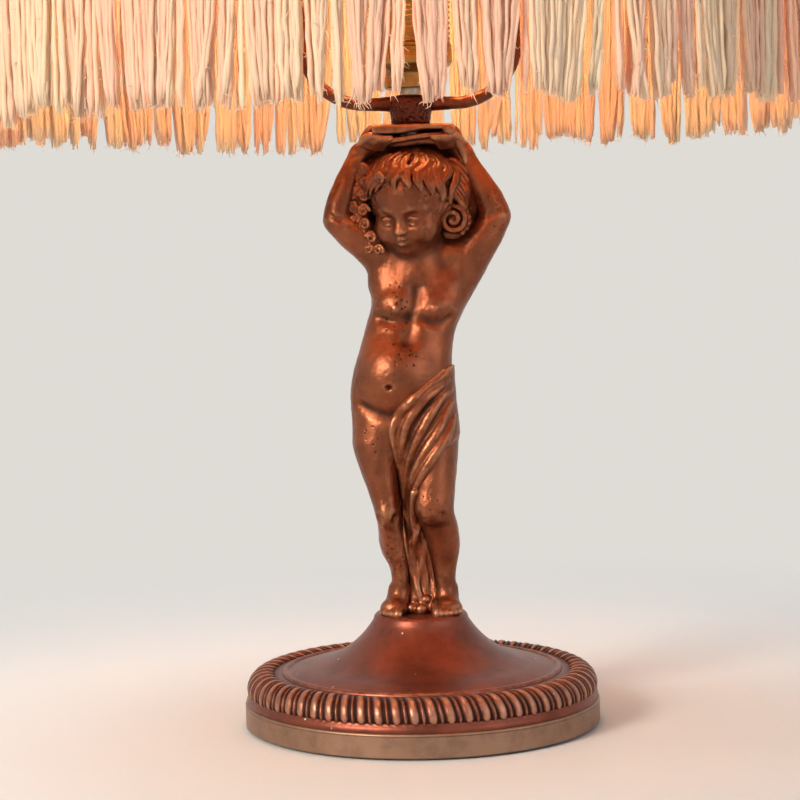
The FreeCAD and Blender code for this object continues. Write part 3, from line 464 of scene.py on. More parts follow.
    def sheet(self, low, high, middle, half, soft=0.6, round_off=1.5):
        """A flat layer: middle and half give its height and half thickness over x and y."""
        margin = np.array([3, 3, 6])
        part, (x, y, z) = self.window(np.array(low) - margin, np.array(high) + margin)
        layer = np.abs(z - middle(x, y)) - half(x, y)
        side = np.maximum(np.maximum(low[0] - x, x - high[0]), np.maximum(low[1] - y, y - high[1]))
        distance = -melt(-layer, -(side + 0 * z), round_off)
        self.put(part, distance.astype(np.float32), soft, False)

    def through(self, x, z):
        """The distances from front to back at a place, and the numbers of those inside."""
        column = self.field[int(round((x - self.low[0]) / self.step)), :,
                            int(round((z - self.low[2]) / self.step))]
        return column, np.nonzero(column < 0)[0]

    def back(self, x, z):
        """How far back the clay reaches at a place seen from the front."""
        inside = self.through(x, z)[1]
        return self.low[1] + self.step * inside[-1] if len(inside) else 0.0

    def front(self, x, z):
        """How far forward the clay reaches at a place seen from the front."""
        column, inside = self.through(x, z)
        if len(inside) == 0:
            return 0.0
        first = inside[0]
        before, after = column[first - 1], column[first]
        return self.low[1] + self.step * (first - 1 + before / (before - after))

    def smoothed(self, radius):
        """The distances, averaged over a radius."""
        kept = np.clip(self.field, -SKIN_DEPTH, SKIN_DEPTH)
        reach = max(int(round(radius / self.step)), 1)
        for axis in range(3):
            for _ in range(2):
                total = np.cumsum(kept, axis=axis, dtype=np.float32)
                ahead = np.take(total, np.minimum(np.arange(kept.shape[axis]) + reach,
                                                  kept.shape[axis] - 1), axis=axis)
                behind = np.arange(kept.shape[axis]) - reach - 1
                lag = np.take(total, np.maximum(behind, 0), axis=axis)
                outside = [1, 1, 1]
                outside[axis] = -1
                lag = lag * (behind >= 0).reshape(outside)
                kept = (ahead - lag) / np.float32(2 * reach + 1)
        return kept

    def values(self, amounts, places):
        """Values of a grid of amounts at places, from the eight grid points round each."""
        at = (places - self.low) / self.step
        first = np.clip(np.floor(at).astype(int), 0, self.counts - 2)
        share = at - first
        total = np.zeros(len(places))
        for corner in np.ndindex(2, 2, 2):
            weight = np.ones(len(places))
            for axis in range(3):
                weight = weight * (share[:, axis] if corner[axis] else 1 - share[:, axis])
            index = first + corner
            total += weight * amounts[index[:, 0], index[:, 1], index[:, 2]]
        return total

    def skin(self, name, most_triangles, seed, rubbed=1.0):
        """The clay's surface as a new object, with its wear and its hollows as attributes.

        Wear is where it stands out over about 1 mm, and hollows where it sinks over about 3 mm. The
        finish darkens the hollows, as dark patina and as painted shade.
        """
        grid = openvdb.FloatGrid(background=SKIN_DEPTH)
        grid.copyFromArray(np.clip(self.field, -SKIN_DEPTH, SKIN_DEPTH))
        points, triangles, quads = grid.convertToPolygons(isovalue=0.0, adaptivity=0.0)
        places = points.astype(np.float64) * self.step + self.low
        piece = piece_from_arrays(name, places * MM, triangles, quads)
        count = len(triangles) + 2 * len(quads)
        if count > most_triangles:
            thin_out(piece, most_triangles / count)
        places = vertex_places(piece) / MM
        fine, broad = self.smoothed(1.2), self.smoothed(3.2)
        write_attribute(piece, "wear", rubbed * self.values(fine, places) / 0.5)
        write_attribute(piece, "hollow_patina_and_shade", -self.values(broad, places) / 1.2)
        unevenness(piece, UNEVEN, seed)
        return piece


# -------------------- the child figure

STAGE = 55.0          # height that the feet stand at
HEAD_CENTRE = (0.2, -7.6, 256.6)
HEAD_TURN = -24       # degrees to the left of straight ahead
HEAD_TIP = 17         # degrees forward

# place across the foot, length and radius of each toe, from the big one
TOES = ((0.86, 6.2, 2.35), (0.38, 6.3, 1.65), (-0.02, 5.6, 1.55), (-0.42, 4.7, 1.5),
        (-0.8, 3.6, 1.5))
# rows of (height, x, y, half width, half depth)
TORSO = (
    (134, -5.5, -4, 19, 12.5), (146, -6.4, -4.5, 24, 15.5), (158, -6.9, -5.5, 25.3, 16.5),
    (170, -6.8, -7.5, 24.6, 17.2), (182, -5.2, -7.2, 22.9, 15.8), (194, -2.6, -4.6, 22, 15),
    (206, 0.2, -2.8, 21.2, 14.6), (217, 1.6, -1.4, 19.6, 13.4), (226, 2, -1, 15.5, 11),
    (236, 1.5, -3, 10, 9),
)
LEFT_LEG = (
    (168, -13, -4.6, 8, 10), (152, -16.6, -4.6, 12.6, 14.4), (140, -19.6, -5.6, 12.2, 14),
    (128, -18.9, -7.2, 10, 11.6), (116, -16.9, -8.6, 7.8, 9.4), (106, -15.3, -9, 6.5, 7.9),
    (96, -13.4, -6.8, 6.1, 7.3), (86, -11.5, -4.6, 5.7, 7), (76, -9.9, -3.6, 4.6, 5.5),
    (68, -9.7, -3.2, 4.2, 5), (57, -10, -2.6, 4.4, 5.6),
)
RIGHT_LEG = (
    (168, 3, -4.6, 8, 10), (152, 5.4, -4.6, 12.6, 15), (140, 7.4, -6.6, 12.6, 15),
    (128, 7.7, -9.4, 11.4, 13.2), (116, 6.9, -12, 10.9, 11.4), (106, 7.2, -12.2, 10, 9.6),
    (97, 9.9, -8.2, 9.2, 8.6), (87, 11.9, -5, 7.7, 7.9), (78, 12.2, -3.8, 5.9, 6.2),
    (70, 12.3, -3.4, 5, 5.4), (57, 12.8, -3, 5.2, 5.9),
)
TAIL = (
    (140, -7.4, -5, 5.2, 12), (126, -4, -3, 6.2, 10.6), (110, -2, 0.2, 7.4, 8.2),
    (99, -1.2, 0.4, 6.2, 7.2), (88, -0.4, 0.6, 4.8, 6.6), (74, 0.4, 0.8, 4.4, 6.2),
    (63, 1, 1, 6, 7), (51, 1.4, 1, 8.6, 8.6),
)


def sculpt_trunk(clay):
    """Belly, chest, back, hips and neck."""
    clay.column(TORSO)
    clay.egg((-10, -12.5, 174), (15.5, 14.6, 15), soft=7)
    clay.egg((-8.4, -9.6, 207), (9.6, 7.4, 7.6), soft=7)
    clay.egg((10, -9.4, 206), (9.4, 7.2, 7.6), soft=7)
    clay.egg((-14.6, 4.6, 143), (11.4, 11.4, 11.6), soft=5)
    clay.egg((4.4, 4.8, 142), (11.8, 11.4, 11.6), soft=5)
    for side in (-8.6, 12):
        clay.egg((side, 6.6, 212), (7.4, 5.4, 9), soft=6)
    clay.rod(((1.6, -2, 220, 11.4), (1.4, -4, 232, 9.6), (0.6, -5.6, 244, 9.6)), soft=8)
    clay.rod(((-8, 12.4, 160, 1.2), (-5, 9.4, 180, 1.6), (0, 12.4, 200, 1.4), (2, 13, 218, 1)),
             soft=5, carve=True)
    clay.rod(((-5.4, 16.4, 150, 1.6), (-5.2, 16.6, 141, 1.8), (-5.4, 14, 132, 1.8)),
             soft=3, carve=True)


def sculpt_leg(clay, sections, knee, calf, ankle):
    """A leg: knee is (x, height, half width), calf its middle, and ankle (x, y)."""
    clay.column(sections, soft=4)
    x, z, width = knee
    y = clay.front(x, z)
    clay.egg((x, y + 2.6, z), (width, 4.2, 1.15 * width), soft=4)
    for side in (-1, 1):
        clay.egg((x + side * 0.95 * width, y + 0.4, z - 0.75 * width), (1.3, 1.6, 2.2), soft=3,
                 carve=True)
    clay.egg(calf, (5.6, 5.4, 10.5), soft=6)
    for side in (-1, 1):
        clay.egg((ankle[0] + side * 3.7, ankle[1], 66.5), (1.9, 2.2, 2.4), soft=3)


def sculpt_foot(clay, heel, ball, width, big_toe_side):
    """A bare foot from heel to toes; ball is the middle of its front, before the toes."""
    heel, ball = np.array(heel), np.array(ball)
    way = ball - heel
    way = way / np.linalg.norm(way)
    across = np.array([-way[1], way[0]])
    across = across * np.sign(across[0]) * big_toe_side
    middle = (heel + ball) / 2
    clay.egg((heel[0], heel[1], STAGE + 4.6), (4.5, 4.8, 5), soft=4)
    clay.rod(((heel[0], heel[1] - 2, STAGE + 9, 4.8),
              (middle[0], middle[1], STAGE + 5.6, 5.2),
              (ball[0], ball[1], STAGE + 3.4, 4.4)), soft=4)
    for side in (-0.55, 0.1, 0.6):
        place = ball + across * side * width
        clay.egg((place[0], place[1], STAGE + 2.7), (3.6, 4.4, 3.2), soft=3)
    for toe, (shift, length, radius) in enumerate(TOES):
        root = ball + across * shift * width * 0.92 - way * (0.2 * toe)
        tip = root + way * length + across * shift * 0.8
        bend = (root + tip) / 2
        clay.rod(((root[0], root[1], STAGE + 2.9, radius),
                  (bend[0], bend[1], STAGE + 3.0, 0.92 * radius),
                  (tip[0], tip[1], STAGE + 1.0, 1.06 * radius)), soft=0.9)


def sculpt_arms(clay):
    """Both raised arms, plump as a child's, from the shoulder over the elbow to the wrist."""
    clay.rod(((-2, -0.5, 213, 10.4), (-11.6, -0.8, 226.4, 10.6), (-21.4, -2, 236, 9.6),
              (-30.4, -3.4, 242.6, 8.2), (-36.6, -4, 248.4, 6.4)), soft=6)
    clay.rod(((-36.8, -4, 248, 6.2), (-35.6, -4, 255, 6.7), (-32.2, -3.6, 264, 6.3),
              (-28.4, -3, 273, 5.5), (-25, -3, 280.4, 4.7)), soft=3)
    clay.egg((-13, -1.8, 217), (9, 9, 8), soft=6)
    clay.rod(((6.4, -0.5, 196, 9.2), (13.4, -0.6, 207.4, 10.6), (21.4, -1, 219.6, 10.6),
              (29.4, -2.2, 232, 9.7), (36.4, -3.4, 241.6, 8.3), (40.4, -4, 248.6, 6.7)), soft=6)
    clay.rod(((40.4, -4, 248.4, 6.6), (37.8, -4, 255.4, 7.2), (33, -3.8, 264, 6.5),
              (28, -3.4, 272.4, 5.8), (24, -3.4, 280, 5.1)), soft=3)
    clay.egg((15.6, -1.4, 215), (9.4, 9, 9), soft=5)
    clay.egg((18, -2, 231), (7.6, 8, 8.4), soft=5)
    for x in (-38.6, 42.6):
        clay.egg((x, -1.6, 246.4), (3, 3.2, 3.2), soft=2.5)
    for x, lean in ((-24.2, -1), (23.4, 1)):
        y = clay.front(x, 279.6)
        clay.rod(((x - 4, y + 1, 279.6 + lean, 0.35), (x, y, 280, 0.45),
                  (x + 4, y + 1, 279.6 - lean, 0.35)), soft=1.8, carve=True)
    for x, z, lean in ((-37.4, 249, -0.5), (39.6, 250, 0.6)):
        y = clay.front(x, z)
        clay.rod([(x + step * 0.9, y + 0.12 * abs(step) - 0.1, z + step * lean, 0.35)
                  for step in (-3, 0, 3)], soft=2, carve=True)


def sculpt_hand(clay, wrist, palm, knuckles, tips, thumb):
    """A hand with its palm up under the folded cloth and its fingers round the edge."""
    clay.rod((wrist, palm), soft=2)
    for start, end in zip(spline(knuckles, 3), spline(tips, 3)):
        middle = (start + end) / 2 + (0, -1.2, 0.8)
        clay.rod(((*start, 2.0), (*middle, 1.9), (*end, 1.6)), soft=0.5)
    clay.rod(thumb, soft=1.0)


def sculpt_hands(clay):
    """Both hands, which hold the cloth's edge."""
    sculpt_hand(clay, (-26, -3, 280, 3.9), (-20, -4.6, 284.6, 4.6),
                ((-24.2, -7.4, 284.6), (-19, -9.6, 283.2), (-14.2, -10.6, 282.8)),
                ((-19.6, -14.6, 288.4), (-14.8, -15.4, 287), (-10, -15.2, 286.6)),
                ((-23.4, -2, 283.6, 2.6), (-22.4, -1, 288.4, 2.3), (-19.6, -3, 292, 1.9)))
    sculpt_hand(clay, (25.4, -3.4, 279.6, 4.4), (19.6, -4.8, 285, 4.8),
                ((24.2, -7.6, 284.8), (19, -9.8, 283.4), (14.2, -10.8, 283)),
                ((19.8, -14.8, 288.2), (15, -15.4, 287), (10.4, -15.2, 286.8)),
                ((22.8, -1.6, 284, 2.8), (22.2, -0.6, 289, 2.4), (19.4, -3, 292, 1.9)))


def sculpt_body_lines(clay):
    """The navel, and the soft lines of belly and chest."""
    def line(places, depth, soft):
        laid = [(x, clay.front(x, z) - depth * 0.25, z, depth) for x, z in places]
        clay.rod(laid, soft=soft, carve=True)

    navel = clay.front(-13.4, 167)
    clay.egg((-13.4, navel, 167.2), (1.5, 2.2, 1.1), soft=1.6, carve=True)
    line(((-27, 159), (-21, 155.4), (-13, 153.4), (-5, 155)), 0.25, 6)
    line(((0.6, 214), (-0.8, 204), (-4.4, 190)), 0.5, 8)
    line(((-17, 200.4), (-9, 198.6), (-3, 200.6)), 0.4, 5)
    line(((4, 200), (11, 197.6), (17, 200.4)), 0.4, 5)
    for x in (-9.4, 9.6):
        y = clay.front(x, 205)
        clay.egg((x, y + 0.9, 205), (1.1, 1.1, 1.1), soft=2.2)


def sculpt_face(clay):
    """A calm child's face of plain proportions: high brow, lidded eyes, small nose and mouth."""
    clay.egg((0, 3, 3.4), (19.8, 20.4, 19.6), soft=3)
    clay.egg((0, -5, -6), (16, 14.2, 15.8), soft=6)
    clay.egg((0, -9.4, 6.6), (14.6, 9.6, 11), soft=6)
    clay.egg((0, -8, -17.2), (9, 7.6, 5), soft=5)
    for side in (-1, 1):
        clay.egg((side * 8, -12.2, -10.4), (7.4, 6.4, 6.8), soft=4.5)
        clay.egg((side * 6.9, -21, -4), (4.4, 3.4, 3), soft=3.6, carve=True)
    clay.egg((0, -13.4, -18.4), (4.6, 4.2, 3.5), soft=4)
    clay.reach = 4.0
    for side in (-1, 1):
        clay.egg((side * 6.8, -15.6, -4.3), (3.4, 3.4, 3), soft=0.9)
        for radius, soft, carve, places in (
                (0.5, 1.0, False, ((3.6, -17.6, -4.9), (5.2, -19.1, -3.2), (7.2, -19.1, -2.8),
                                   (10.2, -16.6, -4.4))),
                (0.4, 1.0, False, ((3.9, -17.8, -5.5), (6.6, -18.9, -6.5), (9.8, -16.9, -5.5))),
                (0.3, 0.6, True, ((4.2, -18.7, -5.1), (6.8, -19.5, -5.3), (9.6, -17.6, -5.0))),
                (0.8, 4, False, ((3.2, -17.6, 0.6), (7, -17.6, 1.8), (11, -14.8, 0.4)))):
            clay.rod([(side * x, y, z, radius) for x, y, z in places], soft=soft, carve=carve)
    clay.rod(((0, -17.4, -3, 1.2), (0, -19, -6.4, 1.6), (0, -20.7, -9, 2.1)), soft=3)
    for side in (-1, 1):
        clay.egg((side * 1.9, -19.2, -9.6), (1.4, 1.7, 1.25), soft=1.2)
        clay.egg((side * 1.0, -20.8, -11.1), (0.5, 0.7, 0.5), soft=0.5, carve=True)
    clay.egg((0, -17, -14.4), (4.8, 2.6, 3.2), soft=2.6)
    clay.rod(((-3.4, -18.1, -13.9, 0.6), (-1.2, -19.6, -13.2, 1.0), (0, -19.4, -13.5, 0.9),
              (1.2, -19.6, -13.2, 1.0), (3.4, -18.1, -13.9, 0.6)), soft=1.0)
    clay.rod(((-2.6, -18.2, -14.9, 0.7), (0, -19.3, -15.5, 1.2), (2.6, -18.2, -14.9, 0.7)),
             soft=1.1)
    clay.rod(((-4, -18.8, -14.0, 0.25), (0, -20.7, -14.3, 0.35), (4, -18.8, -14.0, 0.25)),
             soft=0.5, carve=True)


def head_pose(clay):
    """Take places in the head's own frame: its face looks along -Y before it is turned."""
    turn = (Matrix.Rotation(math.radians(HEAD_TURN), 3, "Z")
            @ Matrix.Rotation(math.radians(HEAD_TIP), 3, "X"))
    clay.pose = np.array(turn)
    clay.centre = np.array(HEAD_CENTRE)


def lamp_pose(clay):
    """Take places in the lamp's frame again."""
    clay.pose = np.eye(3)
    clay.centre = np.zeros(3)
    clay.reach = REACH


def body_clay(step):
    """The child's body: trunk, legs, arms, feet, hands and head."""
    clay = Clay((-50, -44, 50), (54, 30, 296), step)
    sculpt_trunk(clay)
    sculpt_leg(clay, LEFT_LEG, (-15.6, 105.4, 4.4), (-13.4, -1, 92), (-9.8, -2.4))
    sculpt_leg(clay, RIGHT_LEG, (5.6, 108.4, 6.6), (11.6, -0.4, 92), (12.4, -2.4))
    sculpt_arms(clay)
    sculpt_body_lines(clay)
    clay.reach = 5.0
    sculpt_foot(clay, (-9.4, 2.2), (-13.6, -8.6), 5.2, 1)
    sculpt_foot(clay, (12.4, 2.4), (13.6, -9.6), 5.8, -1)
    sculpt_hands(clay)
    clay.reach = REACH
    head_pose(clay)
    sculpt_face(clay)
    lamp_pose(clay)
    return clay


# -------------------- hair

CROWN = 34            # degrees that the crown sits behind the top of the head
SKULL = (22.6, 23.0, 21.2)
SKULL_CENTRE = (0, 3.4, 4.2)

# turn at the start and at the end, drop at the end, width, sway and hook of each lock
LONG_LOCKS = (
    (-66, -92, 108, 3.0, -6, -1), (-50, -74, 104, 3.0, -8, -1), (-34, -57, 103, 2.9, -9, -1),
    (-20, -42, 102, 2.8, -9, -1), (-6, -28, 101, 2.7, -8, -1), (6, -13, 100, 2.6, -6, -1),
    (14, 0, 100, 2.5, -4, 1), (22, 13, 101, 2.6, 5, 1), (32, 27, 102, 2.8, 7, 1),
    (44, 42, 104, 2.9, 8, 1), (58, 59, 107, 3.0, 8, 1), (74, 78, 112, 3.0, 7, 1),
)
SHORT_LOCKS = (
    (-40, -56, 108, 2.3, 3, -1), (-26, -44, 107, 2.2, 4, -1), (-12, -31, 107, 2.2, 4, -1),
    (-2, -18, 105, 2.1, 3, -1), (10, -5, 104, 2.0, 3, 1), (20, 8, 104, 2.0, -3, 1),
    (32, 22, 106, 2.1, -3, 1), (44, 36, 108, 2.2, -4, 1), (56, 52, 111, 2.3, -4, 1),
)
# place, size, way round and facing of each ringlet, from the top down
RINGLETS = (
    (-24, -8.6, 272.6, 3.0, 1, -30), (-27.6, -8, 267.4, 3.2, -1, -8),
    (-23.2, -10.4, 266, 2.8, 1, -34), (-28.4, -8.4, 260.6, 3.3, 1, -22),
    (-23.6, -11.6, 259.4, 3.0, -1, -10), (-28.8, -9, 253.8, 3.3, -1, -30),
    (-23.8, -12.2, 252.4, 3.1, 1, -14), (-28, -9.6, 247, 3.2, 1, -6),
    (-23.2, -12.8, 245.8, 3.0, -1, -30), (-25.4, -10.4, 240.4, 3.1, 1, -24),
    (-20.4, -13.4, 239.4, 2.8, -1, -8), (-21.8, -11.4, 234, 3.0, -1, -18),
    (-17, -13.6, 233.4, 2.7, 1, -28),
)


def on_skull(turn, drop, lift=0.0):
    """A place over the skull in the head's frame: turn is degrees round from the front towards +X,
    drop is degrees down from the crown, and lift is millimetres above the hair's cap."""
    turn, drop = math.radians(turn), math.radians(drop)
    place = Vector((math.sin(drop) * math.sin(turn), -math.sin(drop) * math.cos(turn),
                    math.cos(drop)))
    place = Matrix.Rotation(math.radians(-CROWN), 3, "X") @ place
    return [middle + (half + lift) * part
            for middle, half, part in zip(SKULL_CENTRE, SKULL, place)]


def comb(clay, depth):
    """Draw wavy strands into the cap of hair, from the crown down on every side."""
    part, grid = clay.window(clay.low, clay.low + clay.step * (clay.counts - 1))
    spin = np.array(Matrix.Rotation(math.radians(CROWN), 3, "X"))
    middle = clay.placed(SKULL_CENTRE)
    axes = clay.pose @ spin.T / np.array(SKULL)
    x, y, z = clay.along_axes(grid, middle, axes)
    turn, drop = np.arctan2(x, -y), np.arctan2(np.hypot(x, y), z)
    wave = turn + 0.16 * np.sin(4.6 * drop + 2.0 * turn) + 0.10 * np.sin(9 * drop - 3 * turn)
    strands = 0.66 * np.abs(np.sin(15 * wave)) + 0.34 * np.abs(np.sin(37 * wave + 2 * drop))
    strands = strands + 0.4 * np.sin(9 * turn + 5 * np.sin(3.2 * drop))
    clay.field[part] -= depth * (strands - 0.6) * np.clip(np.sin(drop) / 0.7, 0, 1)


def lock(clay, start, end, width, sway, hook, lift):
    """A wavy lock over the skull: three strands that part in its middle and meet in its tip.

    Start and end are (turn, drop). The tip hooks to one side.
    """
    for strand in (-1, 0, 1):
        places = []
        for step in range(7):
            part = step / 6
            open_by = math.sin(math.pi * min(0.06 + 0.92 * part, 1)) ** 0.7
            drop = start[1] + (end[1] - start[1]) * part
            turn = start[0] + (end[0] - start[0]) * part ** 1.2
            turn += sway * math.sin(1.7 * math.pi * part + 0.2 * strand)
            turn += strand * 0.62 * width * open_by * 2.6 / math.sin(math.radians(max(drop, 22)))
            turn += hook * 8 * max(part - 0.65, 0) / 0.35
            raised = lift + 0.1 + 0.45 * width * open_by * (1 - 0.3 * abs(strand))
            swell = 0.25 + 0.75 * math.sin(math.pi * min(part * 0.84 + 0.1, 1))
            places.append(on_skull(turn, drop, raised) + [0.46 * width * swell])
        clay.rod(places, soft=0.2, pieces=3)


def ringlet(clay, centre, size, thick, way, facing):
    """A curl that winds inwards, seen from the side that it faces."""
    facing = math.radians(facing)
    across = np.array((math.cos(facing), math.sin(facing), 0.0)) * way
    outward = np.array((math.sin(facing), -math.cos(facing), 0.0))
    places = []
    for step in range(15):
        part = step / 14
        turn = FULL_TURN * 1.45 * part + 0.6 + 2.1 * facing
        radius = size * (1 - 0.8 * part)
        place = (np.array(centre) + across * radius * math.cos(turn)
                 + np.array((0, 0, 1.0)) * radius * math.sin(turn) + outward * 0.6 * part * thick)
        places.append([*place, thick * (1 - 0.3 * part)])
    clay.rod(places, soft=0.5, pieces=2)


def hair_clay(step):
    """The cap of hair with its strands and locks, the roll on the right and the ringlets."""
    clay = Clay((-38, -40, 218), (40, 28, 294), step)
    clay.reach = 3.2
    head_pose(clay)
    clay.egg(SKULL_CENTRE, SKULL, soft=0)
    comb(clay, 0.8)
    clay.egg((0, -25, -13), (18.6, 20.6, 21.4), soft=2.0, carve=True)
    clay.egg((0, 0, -26), (13, 17, 13), soft=3, carve=True)
    random = np.random.default_rng(7)
    for index in range(15):
        turn = 100 + 160 * (index + 0.5) / 15
        lock(clay, (turn + random.uniform(-8, 8), 66 + random.uniform(-8, 8)),
             (turn, 124 + random.uniform(-5, 5)), 3.0, random.uniform(-9, 9),
             random.choice((-1, 1)), 0.6)
    for root, lift, locks in ((52, 0.3, LONG_LOCKS), (72, 1.1, SHORT_LOCKS)):
        for start, end, drop, width, sway, hook in locks:
            lock(clay, (start, root), (end, drop), width, sway, hook, lift)
    ringlet(clay, on_skull(-15, 92, 3.6), 2.9, 1.0, -1, -24)
    lamp_pose(clay)
    clay.reach = 4
    side_curls(clay)
    return clay


def side_curls(clay):
    """The roll of hair that ends in a scroll by the right cheek, and the left side's ringlets."""
    clay.egg((0.6, 4, 269), (27.4, 12.4, 19.6), soft=2)
    clay.egg((19, 2, 242), (9.6, 10, 9.4), soft=2)
    clay.egg((25, 1, 253), (8, 11, 13), soft=3, turn=(0, 8, 0))
    clay.egg((22, -5, 257), (7.2, 10, 13), soft=2, turn=(0, 10, 0))
    clay.rod(((19.6, -9.4, 247.4, 6.6), (22, -4, 249, 7.8), (21, 4, 250, 7.4)), soft=1.5)
    for index in range(9):
        start = math.radians(176 - 21 * index)
        places = []
        for step in range(6):
            part = step / 5
            turn = start - 1.1 * part
            places.append((19.2 + 2.4 * (1 - part) + 7.6 * math.cos(turn), 3 - 16.4 * part,
                           249.2 - 2 * part + 7.6 * math.sin(turn), 1.5))
        clay.rod(places, soft=0.2, pieces=3)
    places = []
    for step in range(24):
        part = step / 23
        turn = math.radians(140) - FULL_TURN * 1.8 * part
        radius = 7.2 * (1 - 0.84 * part)
        places.append((19.0 + radius * math.cos(turn), -15.6 - 1.6 * part,
                       247.2 + radius * math.sin(turn), 1.5 - 0.25 * part))
    clay.rod(places, soft=0.1, pieces=3)
    for index in range(7):
        shift = 1.5 * index
        clay.rod(((3 + 1.2 * shift, -21.4 + 1.5 * shift, 274.4 + 0.1 * shift, 1.0),
                  (12 + shift, -21 + 1.4 * shift, 266.4 + 1.0 * shift, 1.5),
                  (19.6 + 0.9 * shift, -18.6 + 1.3 * shift, 259.4 + 0.9 * shift, 1.6),
                  (25 + 0.4 * shift, -16 + 1.4 * shift, 252.8 + 0.5 * shift, 1.2)),
                 soft=0.2, pieces=5)
    for x, y, z, size in ((-22, -2, 270, 6), (-24.6, -2.4, 261, 6.4), (-24.4, -3, 252, 6.4),
                          (-22.4, -3.6, 243.4, 6.2), (-18.8, -4.6, 235.6, 5.4)):
        clay.egg((x, y, z), (size, 1.1 * size, 1.2 * size), soft=2)
    for x, y, z, size, way, facing in RINGLETS:
        clay.egg((x, y + 4.0, z), (1.1 * size, 1.1 * size, 1.1 * size), soft=1.2)
        ringlet(clay, (x, y + 0.9, z), size, 0.34 * size, way, facing)


# -------------------- drape and folded cloth

# (height, x) of the drape's edges on the front and on the back
UPPER_EDGE = ((55, -3.4), (70, -4.6), (90, -7.8), (110, -8.6), (125, -9.2), (140, -12.4),
              (148, -13.2), (154, -12), (161, -5.4), (167, 4.6), (173, 12.4), (177, 17.4),
              (180, 32))
LOWER_EDGE = ((55, 9), (71, 7.4), (85, 4.9), (93, 2.4), (101, -0.6), (111, -3), (121, 0.8),
              (128, 5), (134, 10.6), (139, 17), (144, 26), (150, 60))
BACK_LEFT = ((55, -9.4), (90, -9), (110, -10), (128, -12), (142, -14), (156, -13), (166, -6),
             (173, 8), (177, 18), (180, 32))
BACK_RIGHT = ((55, 10.4), (90, 9.4), (110, 12), (128, 20), (142, 34), (150, 60))
# (x, height) down each fold, and how thick and how far sunk the folds are at those seven places
FOLDS = (
    ((12.6, 175), (6, 168.4), (-2, 161), (-9, 153.6), (-12, 147), (-11.4, 139), (-9.4, 128)),
    ((15.4, 170), (10, 166), (3, 161), (-4, 151), (-7.4, 141), (-8, 128), (-7.4, 112)),
    ((16.8, 165.4), (12.8, 162.7), (5.2, 151.8), (-1.4, 138.6), (-5.6, 126), (-6.6, 108), (-5, 90)),
    ((17.2, 159.4), (15, 156.6), (10.2, 146), (3.5, 135.8), (-2.4, 123.6), (-5, 108), (-3, 84)),
    ((17.8, 152), (16.4, 148.6), (12.2, 140), (6.2, 131.8), (0.6, 122.4), (-3.6, 110), (-1, 84)),
)
FOLD_THICK = (1.0, 2.0, 2.7, 2.6, 2.1, 1.6, 1.0)
FOLD_SUNK = (1.0, 0.5, 0.22, 0.22, 0.22, 0.22, 0.4)


def drape_clay(body):
    """The cloth round the right hip: laid over the body, with its folds, gather and tail."""
    clay = Clay(body.low, body.low + (body.counts - 1) * body.step, body.step)
    part, (x, y, z) = clay.window(np.array((-40, -40, 50)), np.array((40, 28, 190)))
    skin = body.field[part] - 1.2
    ahead = np.clip((4 - y) / 9, 0, 1)
    ahead = ahead * ahead * (3 - 2 * ahead)

    def edge(front, back):
        at = [along(*zip(*points), z).astype(np.float32) for points in (front, back)]
        return at[0] * ahead + at[1] * (1 - ahead)

    region = np.maximum(edge(UPPER_EDGE, BACK_LEFT) - x, x - edge(LOWER_EDGE, BACK_RIGHT))
    clay.field[part] = -melt(-skin, -0.8 * region, 2.2)
    clay.column(TAIL, soft=5)
    clay.reach = 6.0
    for fold in FOLDS:
        clay.rod([(x_at, min(body.front(x_at, z_at), clay.front(x_at, z_at)) + sunk * thick, z_at,
                   thick) for (x_at, z_at), thick, sunk in zip(fold, FOLD_THICK, FOLD_SUNK)],
                 soft=1.0)
    for strand in range(3):
        places = []
        for z_at in (116, 106, 96, 86, 76, 67, 58):
            x_at = -0.2 + 3.1 * math.sin(2.1 * strand + z_at / 12)
            places.append((x_at, clay.front(x_at, z_at) + 0.3, z_at, 1.7))
        clay.rod(places, soft=1.0)
    for x_at, y_at, z_at, size in ((-4.4, -6.6, 57.4, 3.2), (0.4, -8, 57, 3.6), (5, -6, 58, 3.4),
                                   (2.6, -7, 61.6, 2.6), (-2, -5.6, 62, 2.4)):
        clay.egg((x_at, y_at, z_at), (size, 0.9 * size, 0.85 * size), soft=1.0)
    for x_at in (-2.6, 0.4, 3.2):
        clay.rod([(x_at, clay.back(x_at, z_at) - 0.5, z_at, 1.5)
                  for z_at in (112, 100, 88, 76, 64, 56)], soft=2)
    return clay


